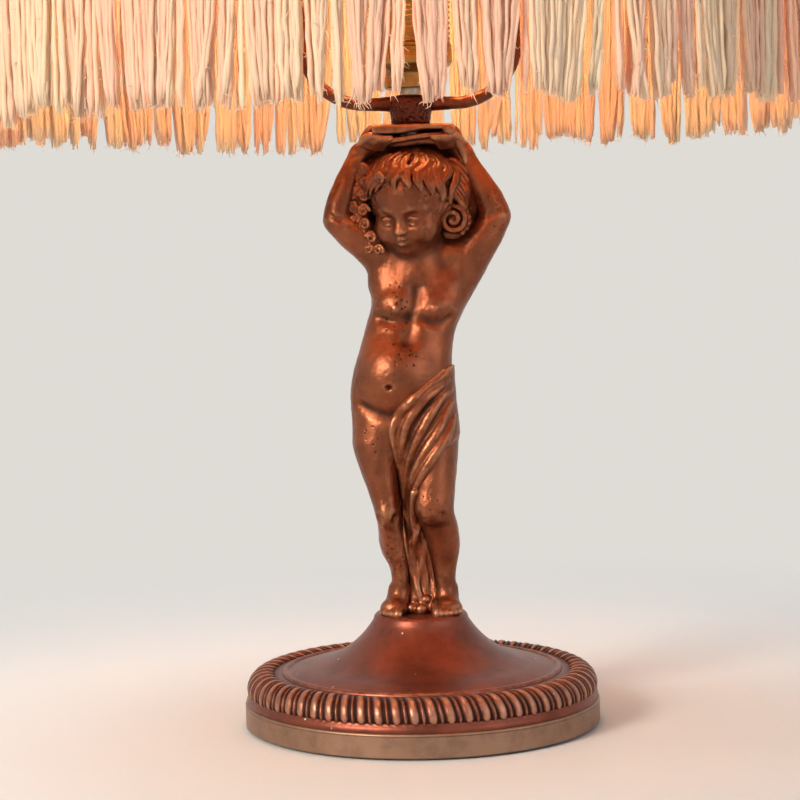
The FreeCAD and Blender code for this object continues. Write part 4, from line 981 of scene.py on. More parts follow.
def cloth_clay(step):
    """The folded cloth under the hub: an upper layer, a lower one that shows, and its end."""
    top = box_mm("harp_hub")[0].z
    clay = Clay((-32, -28, 270), (34, 24, 298), step)
    clay.reach = 4.0

    def rising(x, most):
        share = np.clip((x + 7) / 14, 0, 1)
        return most * share * share * (3 - 2 * share)

    def upper(x, y):
        return top - 2.3 + rising(x, 0.9) + 0 * y

    def upper_half(x, y):
        return 2.3 - rising(x, 0.95) + 0.02 * np.sin(x) + 0 * y

    def lower(x, y):
        return top - 6.4 + 1.5 * np.sin((x + 4) / 10.5) + 0.6 * np.sin(y / 7)

    below, above = top - 12, top + 1
    clay.sheet((-18.8, -17.4, below), (18.4, 14.6, above), upper, upper_half, soft=0.0)
    clay.sheet((-16, -15.4, below), (17.6, 13.6, above), lower, lambda x, y: 1.5 + 0 * x + 0 * y)
    clay.sheet((-15, -13, below), (17, 12.6, above),
               lambda x, y: top - 8.6 + 0.5 * np.sin(x / 4) + 0 * y,
               lambda x, y: 1.6 + 0 * x + 0 * y)
    clay.rod(((17.6, -15.6, top - 3.2, 2.6), (18.6, -6, top - 3.4, 2.9), (18, 6, top - 3.4, 2.8),
              (17, 13, top - 3.4, 2.2)), soft=1.2)
    clay.rod(((19, -14.4, top - 4, 2.2), (21.6, -10.6, top - 7.6, 2.6), (24.4, -8.6, top - 13, 2.2),
              (26, -8, top - 18.6, 1.2)), soft=1.8)
    clay.rod(((18.6, -5, top - 4, 2.4), (21.4, -3, top - 8, 2.4), (23.6, -2, top - 13, 1.6)),
             soft=1.8)
    clay.field = np.maximum(clay.field, (clay.low[2] + clay.step * np.arange(clay.counts[2])
                                         - top).astype(np.float32))
    return clay


def mark_pits(piece):
    """Where the casting left pits: down the chest, on a thigh, and on a knee."""
    places = vertex_places(piece) / MM
    total = np.zeros(len(places))
    for x, z, half_x, half_z, most in ((-9, 199, 6, 19, 1.0), (-3, 181, 6, 6, 0.9),
                                       (-23, 140, 4, 9, 0.8), (5, 112, 6, 12, 0.5),
                                       (-12, 84, 5, 14, 0.5), (38, 250, 9, 10, 0.5)):
        near = ((places[:, 0] - x) / half_x) ** 2 + ((places[:, 2] - z) / half_z) ** 2
        total = np.maximum(total, most * np.clip(1.6 - near, 0, 1))
    write_attribute(piece, "pits", np.where(places[:, 1] < 2, total, 0))


# -------------------- materials

WAVE_LENGTH = FULL_TURN / 20    # length of one band of a wave texture whose scale is 1


def per_mm(millimetres):
    """The scale of a pattern in Object coordinates whose features are this far apart."""
    return 1 / (millimetres * MM)


def add_node(material, kind, inputs=None, **settings):
    """Add a shader node with its settings. An input is a value or another node's socket."""
    node = material.node_tree.nodes.new("ShaderNode" + kind)
    for name, value in settings.items():
        setattr(node, name, value)
    for name, value in (inputs or {}).items():
        if isinstance(value, bpy.types.NodeSocket):
            material.node_tree.links.new(value, node.inputs[name])
        else:
            node.inputs[name].default_value = value
    return node


def new_material(name):
    """A new material, and the function that adds its nodes."""
    material = bpy.data.materials.new(name)
    material.use_nodes = True
    material.node_tree.nodes.clear()
    return material, partial(add_node, material)


def shown(material, shader):
    """Send a shader to the material's output."""
    add_node(material, "OutputMaterial", {"Surface": shader.outputs[0]})
    return material


def patina(name, base, dark, worn, speckled=0.0, roughness=(0.29, 0.55), wear_from=0.74):
    """Cast bronze: mottled brown patina, near black in hollows and rubbed bare on high places.

    Cast, patinated and handled: broad soft highlights, with pits that the casting left. The near
    black in hollows is partly dark patina and partly painted shade.
    """
    material, add = new_material(name)
    place = add("TexCoord").outputs["Object"]
    blotch = add("TexNoise", {
        "Vector": place, "Scale": per_mm(16), "Detail": 6, "Roughness": 0.62}).outputs["Fac"]
    cloud = add("TexNoise", {
        "Vector": place, "Scale": per_mm(4.5), "Detail": 4, "Roughness": 0.6}).outputs["Fac"]
    grain = add("TexNoise", {
        "Vector": place, "Scale": per_mm(0.9), "Detail": 3, "Roughness": 0.7}).outputs["Fac"]
    pit = add("TexVoronoi", {"Vector": place, "Scale": per_mm(2.8)}).outputs["Distance"]
    wear, hollow_patina_and_shade, pits = (add("Attribute", attribute_name=of).outputs["Fac"]
                          for of in ("wear", "hollow_patina_and_shade", "pits"))

    tone = add("MapRange", {"Value": blotch, "From Min": 0.36, "From Max": 0.66}).outputs[0]
    paler, deeper = (tuple(min(share * part, 1) for part in base[:3]) + (1,)
                     for share in (1.22, 0.72))
    mottled = add("Mix", {0: tone, 6: deeper, 7: paler}, data_type="RGBA").outputs[2]
    rubbed = add("Math", {0: wear, 1: cloud}, operation="ADD").outputs[0]
    rubbed = add("MapRange", {
        "Value": rubbed, "From Min": wear_from, "From Max": wear_from + 0.6,
        "To Max": 0.62}).outputs[0]
    bare = add("Mix", {0: rubbed, 6: mottled, 7: worn}, data_type="RGBA").outputs[2]
    # painted shade as well as dark patina: the hollows, with the blotches, mix the colour towards
    # near black
    shade = add("Math", {0: hollow_patina_and_shade, 1: blotch}, operation="ADD").outputs[0]
    shade = add("MapRange", {
        "Value": shade, "From Min": 0.56, "From Max": 1.12, "To Max": 0.92}).outputs[0]
    deep = add("Mix", {0: shade, 6: bare, 7: dark}, data_type="RGBA").outputs[2]
    hole = add("MapRange", {
        "Value": pit, "From Min": 0.15, "From Max": 0.31, "To Min": 1.0, "To Max": 0.0}).outputs[0]
    hole = add("Math", {0: hole, 1: pits}, operation="MULTIPLY").outputs[0]
    colour = add("Mix", {0: hole, 6: deep, 7: dark}, data_type="RGBA").outputs[2]
    if speckled:
        dust = add("TexVoronoi", {"Vector": place, "Scale": per_mm(14)}).outputs["Distance"]
        dust = add("MapRange", {
            "Value": dust, "From Min": speckled * 0.5, "From Max": speckled,
            "To Min": 1.0, "To Max": 0.0}).outputs[0]
        colour = add("Mix", {0: dust, 6: colour, 7: linear("#E9DCCB")},
                     data_type="RGBA").outputs[2]
    rough = add("Math", {0: grain, 1: shade}, operation="ADD").outputs[0]
    rough = add("MapRange", {
        "Value": rough, "From Min": 0.3, "From Max": 1.3,
        "To Min": roughness[0], "To Max": roughness[1]}).outputs[0]
    relief = add("Math", {0: cloud, 1: 0.5, 2: grain}, operation="MULTIPLY_ADD").outputs[0]
    relief = add("Math", {0: hole, 1: -2.5, 2: relief}, operation="MULTIPLY_ADD").outputs[0]
    bump = add("Bump", {"Height": relief, "Strength": 0.28, "Distance": 0.35 * MM}).outputs[0]
    return shown(material, add("BsdfPrincipled", {
        "Base Color": colour, "Roughness": rough, "Normal": bump, "Metallic": 0.8}))


def turned_metal(name, base, dark, roughness, line_mm, metallic=1.0):
    """Spun or turned metal: fine rings round the axis, browned with age.

    Real tool marks are finer. These are half a millimetre apart, so that they show.
    """
    material, add = new_material(name)
    place = add("TexCoord").outputs["Object"]
    rings = add("Mapping", {"Vector": place, "Scale": (0.02, 0.02, 1)}).outputs[0]
    lines = add("TexNoise", {
        "Vector": rings, "Scale": per_mm(line_mm), "Detail": 3, "Roughness": 0.6}).outputs["Fac"]
    age = add("TexNoise", {
        "Vector": place, "Scale": per_mm(11), "Detail": 6, "Roughness": 0.65}).outputs["Fac"]
    age = add("MapRange", {
        "Value": age, "From Min": 0.42, "From Max": 0.72, "To Max": 0.75}).outputs[0]
    colour = add("Mix", {0: age, 6: base, 7: dark}, data_type="RGBA").outputs[2]
    rough = add("MapRange", {
        "Value": lines, "From Min": 0.3, "From Max": 0.7,
        "To Min": roughness - 0.06, "To Max": roughness + 0.1}).outputs[0]
    bump = add("Bump", {"Height": lines, "Strength": 0.15, "Distance": 0.15 * MM}).outputs[0]
    return shown(material, add("BsdfPrincipled", {
        "Base Color": colour, "Roughness": rough, "Normal": bump, "Metallic": metallic}))


def grained(name, first, second, pattern_mm, roughness, relief_mm, metallic=0.0, **sockets):
    """A finish with two colours in a fine grain: castings, zinc, porcelain, paint and felt."""
    material, add = new_material(name)
    place = add("TexCoord").outputs["Object"]
    grain = add("TexNoise", {
        "Vector": place, "Scale": per_mm(pattern_mm), "Detail": 5,
        "Roughness": 0.65}).outputs["Fac"]
    share = add("MapRange", {"Value": grain, "From Min": 0.35, "From Max": 0.65}).outputs[0]
    colour = add("Mix", {0: share, 6: first, 7: second}, data_type="RGBA").outputs[2]
    rough = add("MapRange", {
        "Value": grain, "From Min": 0.3, "From Max": 0.7,
        "To Min": roughness - 0.05, "To Max": min(roughness + 0.08, 1)}).outputs[0]
    bump = add("Bump", {"Height": grain, "Strength": 0.3, "Distance": relief_mm * MM}).outputs[0]
    return shown(material, add("BsdfPrincipled", {
        "Base Color": colour, "Roughness": rough, "Normal": bump, "Metallic": metallic, **sockets}))


def cloth(name, first, second, thread_mm, through, relief_mm, woven=True, streak_mm=30):
    """Thin cloth or yarn that lets the bulb's light through, with its threads as relief.

    Silk and cotton have no metal and little gloss. Light comes through as the cloth's colour.
    Real threads are finer. These are as coarse as they need to be to show.
    """
    material, add = new_material(name)
    place = add("TexCoord").outputs["Object"]
    tone = add("Attribute", attribute_name="tone").outputs["Fac"]
    cloud = add("TexNoise", {
        "Vector": place, "Scale": per_mm(streak_mm), "Detail": 3}).outputs["Fac"]
    # The tone attribute is random tone on the braid and the yarns, and on the silk cover also
    # painted shade in the gathers.
    share = add("Math", {0: cloud, 1: 0.35, 2: tone}, operation="MULTIPLY_ADD").outputs[0]
    colour = add("Mix", {0: share, 6: first, 7: second}, data_type="RGBA").outputs[2]
    if woven:
        across = add("UVMap", uv_map="UVMap").outputs[0]
        warp, weft = (add("TexWave", {
            "Vector": across, "Scale": WAVE_LENGTH / (thread_mm * MM), "Distortion": uneven,
            "Detail": 2}, bands_direction=way).outputs["Fac"]
            for way, uneven in (("X", 1.5), ("Y", 2.5)))
        relief = add("Math", {0: warp, 1: weft}, operation="MAXIMUM").outputs[0]
    else:
        relief = add("TexNoise", {
            "Vector": place, "Scale": per_mm(thread_mm), "Detail": 3,
            "Roughness": 0.7}).outputs["Fac"]
    bump = add("Bump", {"Height": relief, "Strength": 0.5, "Distance": relief_mm * MM}).outputs[0]
    body = add("BsdfPrincipled", {
        "Base Color": colour, "Roughness": 0.78, "Normal": bump, "Specular IOR Level": 0.25,
        "Sheen Weight": 0.25, "Sheen Roughness": 0.5})
    glow = add("BsdfTranslucent", {"Color": colour, "Normal": bump})
    return shown(material, add("MixShader", {0: through, 1: body.outputs[0], 2: glow.outputs[0]}))


def glass(name, tint, roughness=0.02):
    """Blown soda-lime glass, nearly clear."""
    material, add = new_material(name)
    smear = add("TexNoise", {
        "Vector": add("TexCoord").outputs["Object"], "Scale": per_mm(18),
        "Detail": 2}).outputs["Fac"]
    rough = add("MapRange", {
        "Value": smear, "From Min": 0.3, "From Max": 0.7,
        "To Min": roughness, "To Max": roughness + 0.05}).outputs[0]
    return shown(material, add("BsdfPrincipled", {
        "Base Color": tint, "Roughness": rough, "IOR": 1.5, "Transmission Weight": 1.0}))


def glowing(name, colour, strength):
    """The white-coated glass of a lit bulb."""
    material, add = new_material(name)
    return shown(material, add("BsdfPrincipled", {
        "Base Color": linear("#F7EEDF"), "Roughness": 0.45, "Emission Color": colour,
        "Emission Strength": strength}))


def make_materials():
    """Every finish of the lamp, by a short name."""
    own = colours()
    bronze, dark, worn = tuple(own.bronze), tuple(own.bronze_dark), tuple(own.bronze_worn)
    return {
        "figure": patina("cast_bronze_figure", bronze, dark, worn),
        "base": patina("cast_bronze_base", linear("#7A4030"), dark, linear("#C8957A"),
                       speckled=0.045, roughness=(0.33, 0.56), wear_from=0.7),
        "harp": patina("bronzed_harp", tuple(own.harp), dark, linear("#9A5A3A"),
                       roughness=(0.32, 0.55), wear_from=0.8),
        "band": turned_metal("turned_brass_foot", tuple(own.brass), linear("#70584A"), 0.42, 0.6,
                             metallic=0.8),
        "brass": turned_metal("spun_brass", linear("#A9814A"), linear("#4E3A22"), 0.32, 0.5),
        # plated: a dull silvery metal with a faint crystal grain
        "steel": grained("zinc_plated_steel", linear("#B9BCBE"), linear("#9A9D9F"), 2.0, 0.34,
                         0.04, metallic=1.0),
        # as it leaves the sand: dark, rough and dull
        "iron": grained("cast_iron", linear("#3A3735"), linear("#2A2624"), 1.4, 0.6, 0.3,
                        metallic=0.8),
        # felted wool: matt, with a sheen from its nap
        "baize": grained("green_baize", linear("#27402E"), linear("#1E3425"), 0.7, 0.9, 0.3,
                         **{"Sheen Weight": 0.5, "Sheen Roughness": 0.6}),
        # fired glaze: a wet, sharp gloss
        "porcelain": grained("glazed_porcelain", linear("#ECE7DB"), linear("#E4DDCE"), 9.0, 0.16,
                             0.05, **{"Coat Weight": 0.5, "Coat Roughness": 0.08}),
        "black_glass": grained("black_glass", linear("#16161A"), linear("#1E1E22"), 6.0, 0.14,
                               0.02),
        "glass": glass("clear_stem_glass", linear("#FBF8F0")),
        "bulb": glowing("lit_opal_bulb", tuple(own.light), 58.0),
        # brushed paint: smooth, with a half gloss
        "wire": grained("cream_painted_wire", linear("#D9CCB4"), linear("#CDBFA6"), 5.0, 0.45,
                        0.06),
        "silk": cloth("gathered_silk", tuple(own.silk), linear("#E2B49E"), 0.9, 0.45, 0.12),
        "braid": cloth("woven_silk_braid", linear("#E3B49C"), linear("#C98E75"), 0.6, 0.25, 0.15,
                       woven=False),
        "yarn": cloth("brushed_cotton_yarn", tuple(own.yarn), tuple(own.yarn_pink), 0.6, 0.6, 0.15,
                      woven=False, streak_mm=45),
    }


# -------------------- base

RING_SECTION = 9.0     # radius of the section that the lobes are cut in
LOBE_LEAN = 3.6        # degrees that a lobe leans over its length
LOBE_ENDS = (-15.0, 121.0)    # where a lobe begins and ends, in degrees up from the outer side
FAT, THIN = (0.27, 0.45), (0.115, 0.5)    # half width in shares of a lobe's turn, and roundness
THIN_HEIGHT = 0.8      # how high a fillet between two lobes stands, beside them
BEAD = 67.6            # radius of the bead inside the ring


def gadroon_ring():
    """Radius and height of the centre of the gadroon ring's section."""
    seat, casting = box_mm("foot_ring")[1], box_mm("base_casting")[1]
    return casting.x - RING_SECTION, seat.z + 6.4


def base_outline():
    """The casting's section: ring, bead, dish, trumpet and the flat that the feet stand on."""
    radius, height = gadroon_ring()
    seat, top = box_mm("foot_ring")[1], box_mm("base_casting")[1].z
    stage = 20.6
    return (
        (seat.x - 0.9, seat.z), (seat.x - 0.6, height - 5.2),
        (radius + RING_SECTION - 0.5, height - 3.4),
        (radius + RING_SECTION - 0.3, height - 2.4),
        (radius + RING_SECTION - 0.2, height - 1.8, RING_SECTION),
        (radius - 5.2, height + 7.3), (BEAD + 1.7, height + 7.3, 1.75, 0.45),
        (BEAD - 1.6, height + 7.8), (58, height + 10.3, -47.6, 2.6), (23.4, top - 3.4, 3.6),
        (stage, top), (5.3, top), (5.3, top - 3), (stage - 1, top - 3),
        (25, top - 10, 44, 5), (54, height + 7.3), (BEAD, height + 4.4),
        (radius, height + 5.2, -7, 3), (radius + 6.4, height - 2), (radius + 7.4, seat.z),
    )


def lobe_height(turn, climb, count):
    """How far the skin stands up, from 0 in the gaps to 1 on the lobes' tops."""
    share = np.clip((climb - LOBE_ENDS[0]) / (LOBE_ENDS[1] - LOBE_ENDS[0]), 0, 1)
    lean = -math.radians(LOBE_LEAN) * (0.25 * share + 0.75 * share ** 2.2)
    across = ((turn - lean) * count / FULL_TURN + 0.5) % 1 - 0.5
    lower = np.clip((climb - LOBE_ENDS[0]) / 13, 0, 1)
    upper = np.clip((LOBE_ENDS[1] - climb) / 22, 0, 1)
    ends = np.sqrt(1 - (1 - lower) ** 2) * np.sqrt(1 - (1 - upper) ** 2)
    lobe, fillet = (np.maximum(1 - (away / (half * ends + 0.001)) ** 2, 0) ** power
                    for away, (half, power) in ((np.abs(np.abs(across) - 0.5), FAT),
                                                (np.abs(across), THIN)))
    return np.where(ends > 0.03, np.maximum(lobe, THIN_HEIGHT * fillet), 0)


def carve_lobes(piece, depth):
    """Sink the gaps between the lobes, and tell the finish what is high and what is low."""
    centre_radius, centre_height = gadroon_ring()
    places, radius, turn = round_axis(piece)
    across, rise = radius - centre_radius, places[:, 2] - centre_height
    climb = np.degrees(np.arctan2(rise, across))
    skin = (np.abs(np.hypot(across, rise) - RING_SECTION) < 0.45) & (climb > -24) & (climb < 127)
    height = lobe_height(turn, climb, sizes().lobe_count)
    fade = np.clip((climb + 22) / 7, 0, 1) * (1 - 0.6 * np.clip((climb - 112) / 12, 0, 1))
    sink = np.where(skin, depth * (1 - height) * fade, 0)
    climbing = np.radians(np.maximum(climb, 0))
    way = np.stack([np.cos(turn) * np.cos(climbing), np.sin(turn) * np.cos(climbing),
                    np.sin(climbing)], axis=1)
    set_vertex_places(piece, (places - way * sink[:, None]) * MM)
    lobes = skin & (climb > LOBE_ENDS[0]) & (climb < 122)
    bead = np.abs(radius - BEAD - 0.1) < 1.8
    # The lobes' crowns, their lower tips and the bead's top are lightened as rubbed metal and
    # partly as a painted highlight.
    tips = np.clip(1 - np.abs(climb + 6) / 16, 0, 1)
    wear = np.where(lobes, 1.3 * height - 0.62 + 0.35 * tips * height, 0)
    wear = np.where(bead & (places[:, 2] > centre_height + 7.4), 0.3, wear)
    # Painted shade beside dark patina: the gaps between the lobes and the valley behind the ring
    # are darkened.
    valley = np.clip(1 - np.abs(climb - 124) / 5, 0, 1) * skin
    write_attribute(piece, "wear", wear)
    write_attribute(piece, "hollow_patina_and_shade", np.where(lobes, 0.75 * (1 - height), 0) + 0.5 * valley)


def make_base_casting():
    """The casting, with sixteen columns of faces to each lobe."""
    piece = turned("base_casting_cast", base_outline(), steps=16 * sizes().lobe_count, degrees=50)
    carve_lobes(piece, sizes().lobe_depth / MM)
    return piece


def make_foot_band():
    """The turned band, with a shallow groove under its upper edge."""
    low, high = box_mm("foot_ring")
    outside, inside = high.x, high.x - 2.2
    return turned("foot_band", (
        (inside, low.z), (outside - 0.8, low.z), (outside - 0.2, low.z + 0.3, 0.6, 0.2),
        (outside, low.z + 0.9), (outside, high.z - 1.5), (outside - 0.25, high.z - 1.3),
        (outside, high.z - 1.0, 1.0, 0.2), (outside - 1.0, high.z), (78, high.z),
        (78, high.z - 2), (inside, high.z - 2),
    ), steps=288, chord=1.2)


# -------------------- harp and lampholder

def harp_line():
    """The rod's centre line over one half, from inside the hub to the top bar, as (x, z)."""
    low, high = box_mm("harp_hoop")
    rod = 3.0
    start, top, wide = low.z + rod, high.z - rod, high.x - rod
    straight, bend, shoulder, taper = wide - 30, 30.0, top - 30, 8.0
    rise = shoulder - start - bend
    side = (taper ** 2 + rise ** 2) / (2 * taper)
    lean = math.asin(rise / side)
    corner = (top - shoulder) / (1 - math.sin(lean))
    line = [(6.5, start), (14, start), (straight, start)]
    line += arc_points((straight, start), (wide, start + bend), bend, 5)
    line += arc_points((wide, start + bend), (wide - taper, shoulder), side, 14)
    line += arc_points((wide - taper, shoulder),
                       (wide - taper - corner * math.cos(lean), top), corner, 5)
    return line, rod


def make_harp():
    """The bent rod, a little thicker where it is let into the hub."""
    line, rod = harp_line()
    low, high = box_mm("harp_hoop")
    clay = Clay((low.x - 3, -9, low.z - 5), (high.x + 3, 9, high.z + 4), 0.6)
    clay.reach = 3.0
    half = [(x, 0, z, rod + 1.1 * math.exp(-max(x - 10, 0) / 4)) for x, z in line]
    other = [(-x, y, z, thick) for x, y, z, thick in reversed(half)]
    clay.rod(half + other, soft=0, pieces=3)
    return clay.skin("harp_rod", 60000, 5)


def make_hub():
    """The hub, with its hammered wall."""
    low, high = box_mm("harp_hub")
    foot, hub, hole = 9.6, high.x, 5.0
    piece = turned("hub_casting", (
        (hole, low.z), (foot - 2.2, low.z, 2.2, 0.5), (foot, low.z + 2.2),
        (hub - 0.1, high.z - 6), (hub, high.z - 3, 3, 0.5), (hub - 1.6, high.z - 0.8),
        (hole + 1.5, high.z), (hole, high.z),
    ), steps=144, chord=0.16, degrees=50)
    places, radius, _ = round_axis(piece)
    blows = waves(places, 1.1, 2.6, 11)
    outside = np.clip((radius - foot + 1.5) / 1.5, 0, 1)
    shrink = 1 - outside * 0.2 * (1 - np.tanh(1.2 * blows)) / radius
    places[:, :2] *= shrink[:, None]
    set_vertex_places(piece, places * MM)
    write_attribute(piece, "wear", 0.3 * blows * outside - 0.1)
    # Painted shade beside dark patina: the dents of the hammered wall are darkened.
    write_attribute(piece, "hollow_patina_and_shade", -0.4 * blows * outside)
    return piece


def make_boss():
    """The boss at the harp's top, with the stud that the finial screws on."""
    low, high = box_mm("harp_boss")
    middle, radius, stud = low.z + 5.5, high.x, 3.0
    return turned("harp_boss_turned", (
        (0, low.z), (radius - 1.6, low.z, 1.6, 0.3), (radius, low.z + 1.6),
        (radius, middle - 0.6), (radius - 0.5, middle), (radius, middle + 0.6),
        (radius, middle + 4.5), (radius - 1, middle + 5.5), (stud, middle + 5.5),
        (stud, high.z - 0.8), (stud - 0.8, high.z), (0, high.z),
    ), steps=72, chord=0.8)


def cut_thread(piece, pitch, depth, low, high, radius):
    """Press a right-hand thread into the part of a turned wall that lies at a radius."""
    places, here, turn = round_axis(piece)
    wave = 0.5 - 0.5 * np.cos(FULL_TURN * (places[:, 2] / pitch - turn / FULL_TURN))
    ends = np.clip((places[:, 2] - low) / 1.5, 0, 1) * np.clip((high - places[:, 2]) / 1.5, 0, 1)
    sink = np.where(np.abs(here - radius) < 0.3, depth * wave * ends, 0)
    places[:, :2] *= (1 - sink / np.maximum(here, 1))[:, None]
    set_vertex_places(piece, places * MM)


def make_holder_cap():
    """The spun dome under the lampholder."""
    low, high = box_mm("holder_cap")
    neck, widest, wall, pipe = 12.5, high.x, 1.1, 5.0
    return turned("holder_dome", (
        (pipe, low.z), (neck - 1, low.z, 1, 0.3), (neck, low.z + 1),
        (neck, low.z + 5.5, -3, 0.5), (neck + 1.6, low.z + 8),
        (widest - 1, high.z - 10, 3, 0.5), (widest, high.z - 7), (widest, high.z - 2.2),
        (widest - 0.4, high.z - 1.8), (widest, high.z - 1.4), (widest, high.z),
        (widest - wall, high.z), (widest - wall, high.z - 6.6),
        (widest - wall - 1, high.z - 8.4), (neck + 0.6, low.z + 8.8),
        (neck - wall, low.z + 6.4), (pipe, low.z + 6),
    ), steps=160, chord=1.0)


def make_holder_skirt():
    """The upper wall of the lampholder, with its outside thread."""
    low, high = box_mm("holder_skirt")
    skirt, inner, wall = high.x, 15.8, 1.1
    top = box_mm("holder_cap")[1].z
    piece = turned("holder_threaded_skirt", (
        (skirt - wall - 0.8, low.z), (skirt - 0.8, low.z), (skirt - 0.8, top + 0.2),
        (skirt, top + 0.6), (skirt, high.z - 1, 1, 0.3), (skirt - 1, high.z),
        (inner, high.z), (inner, high.z - wall), (skirt - 1.9, high.z - wall - 1),
    ), steps=96, chord=0.1, degrees=60)
    cut_thread(piece, sizes().thread_pitch / MM, 0.9, top + 1, high.z - 1.4, skirt)
    return piece


def make_bulb():
    """The envelope: a round head that runs down to its neck in one smooth line."""
    low, high = box_mm("bulb_glass")
    radius, neck, seam = high.x, 12.0, low.z + 6
    centre = high.z - radius
    shoulder = (radius * 0.7333, centre - radius * 0.68)
    return spun("bulb_envelope", [(neck, low.z), (neck, seam)]
                + arc_points((neck, seam), shoulder, -40, 1.5)
                + arc_points(shoulder, (0.01, high.z), radius, 1.5)
                + [(0, high.z), (0, low.z + 1), (neck - 1, low.z)], 128, 60)


def make_finial():
    """A turned finial: foot, waist, ball and point."""
    low, high = box_mm("finial")
    hole, ball = 3.06, 9.5
    return turned("finial_turned", (
        (hole, low.z), (8.2, low.z, 0.4, 0.15), (8.4, low.z + 0.4),
        (8.4, low.z + 1.8, 1.4, 0.3), (7, low.z + 3.2), (4.8, low.z + 6, -4, 0.5),
        (5.4, low.z + 9.4, ball, 0.6), (ball * 0.4, high.z - 5.6, -3, 0.4),
        (1.4, high.z - 1.2), (0.6, high.z), (0, high.z), (0, high.z - 14.4),
        (hole, high.z - 14.4),
    ), steps=96, chord=0.8)


# -------------------- shade

WIRE = 1.8            # radius of the shade's ring wires
RIB_ARC = 168.0       # radius of the bow of its ribs
GATHERS = 148


def ring_line(node):
    """Radius and height of a ring wire's centre."""
    high = box_mm(node)[1]
    return high.x - WIRE, high.z - WIRE


def make_cover():
    """The silk: eight panels that draw in between the wires, gathered at both edges."""
    (low_r, low_z), (top_r, top_z) = ring_line("shade_bottom_ring"), ring_line("shade_top_ring")
    gap = 3.1
    start, end = (low_r + gap, low_z), (top_r + 1, top_z + gap)
    line = [(low_r + gap, low_z - 2), start] + arc_points(start, end, RIB_ARC + gap, 5.6)
    piece = spun("silk_cover", line, 8 * GATHERS, 80)
    places, radius, turn = round_axis(piece)
    share = np.clip((places[:, 2] - low_z) / (top_z - low_z), 0, 1)
    between = np.sin(4 * (turn - math.pi / 8)) ** 2
    sag = -5.5 * np.sin(math.pi * share ** 0.9) * between ** 1.3
    ring = np.stack([np.cos(turn), np.sin(turn)], axis=1) * low_r
    drift = waves(np.column_stack([ring, 60 * share]), 60, 300, 21, 16)
    size = 0.45 + 0.35 * waves(np.column_stack([ring, 40 * share]), 25, 90, 22, 16)
    edge = np.exp(-share / 0.16) + np.exp(-(1 - share) / 0.16)
    fold = np.sin(GATHERS * turn + 1.6 * drift)
    fold += 0.4 * np.sin(2.3 * GATHERS * turn / 2 + 2.2 * drift)
    push = sag + (0.35 + 0.9 * edge) * np.clip(size, 0.1, 1.2) * fold + 0.5
    lean = np.clip((radius - top_r) / (low_r - top_r), 0, 1)
    places[:, :2] *= (1 + push * (0.4 + 0.6 * lean) / radius)[:, None]
    places[:, 2] += push * (1 - lean) * 0.8
    set_vertex_places(piece, places * MM)
    # Painted shade: the tone darkens the silk in the valleys of the gathers, most near both edges,
    # with a little random drift.
    write_attribute(piece, "tone", 0.2 + 0.5 * np.clip(-fold * edge, 0, 1) + 0.1 * drift)
    slant = np.hypot(low_r - radius, places[:, 2] - low_z) * MM
    unwrap(piece, turn * low_r * MM, slant)
    apply_modifier(piece, "SOLIDIFY", thickness=0.6 * MM, offset=-1.0, use_rim=True)
    piece.data.shade_smooth()
    return piece


def unwrap(piece, across, along_it):
    """A UV map in metres of cloth, so that the weave has its real size."""
    layer = piece.data.uv_layers.new(name="UVMap")
    corners = np.empty(len(piece.data.loops), dtype=np.int32)
    piece.data.loops.foreach_get("vertex_index", corners)
    layer.data.foreach_set("uv", np.stack([across[corners], along_it[corners]],
                                          axis=1).astype(np.float32).ravel())


def tubes(name, centres, radii, sides, looped):
    """Round strands: centres (strand, place, axis) and radii (strand, place), in millimetres.

    Looped strands close on themselves. The others have pointed ends.
    """
    strands, length, _ = centres.shape
    if looped:
        way = np.roll(centres, -1, axis=1) - np.roll(centres, 1, axis=1)
    else:
        way = np.gradient(centres, axis=1)
    way /= np.linalg.norm(way, axis=2, keepdims=True)
    middle = centres.mean(axis=(0, 1), keepdims=True)
    outward = centres - middle
    outward[:, :, 2] = 0
    outward /= np.maximum(np.linalg.norm(outward, axis=2, keepdims=True), 1e-6)
    first = np.cross(way, outward)
    first /= np.linalg.norm(first, axis=2, keepdims=True)
    second = np.cross(way, first)
    angles = FULL_TURN * np.arange(sides) / sides
    rings = (centres[:, :, None] + radii[:, :, None, None]
             * (first[:, :, None] * np.cos(angles)[None, None, :, None]
                + second[:, :, None] * np.sin(angles)[None, None, :, None]))
    places = rings.reshape(-1, 3)
    last = length if looped else length - 1
    strand, step, side = np.meshgrid(np.arange(strands), np.arange(last), np.arange(sides),
                                     indexing="ij")
    following = (step + 1) % length
    beside = (side + 1) % sides

    def number(step_at, side_at):
        return ((strand * length + step_at) * sides + side_at).ravel()

    quads = np.stack([number(step, side), number(step, beside), number(following, beside),
                      number(following, side)], axis=1)
    triangles = np.zeros((0, 3), dtype=int)
    if not looped:
        count = len(places)
        tips = np.concatenate([centres[:, 0], centres[:, -1]])
        places = np.concatenate([places, tips])
        own = np.arange(strands)[:, None]
        around = np.arange(sides)[None, :]
        head = own * length * sides
        foot = (own * length + length - 1) * sides
        start_tip, end_tip = count + own + 0 * around, count + strands + own + 0 * around
        upper = np.stack([head + (around + 1) % sides, head + around, start_tip], axis=2)
        lower = np.stack([foot + around, foot + (around + 1) % sides, end_tip], axis=2)
        triangles = np.concatenate([upper.reshape(-1, 3), lower.reshape(-1, 3)])
    return piece_from_arrays(name, places * MM, triangles, quads)


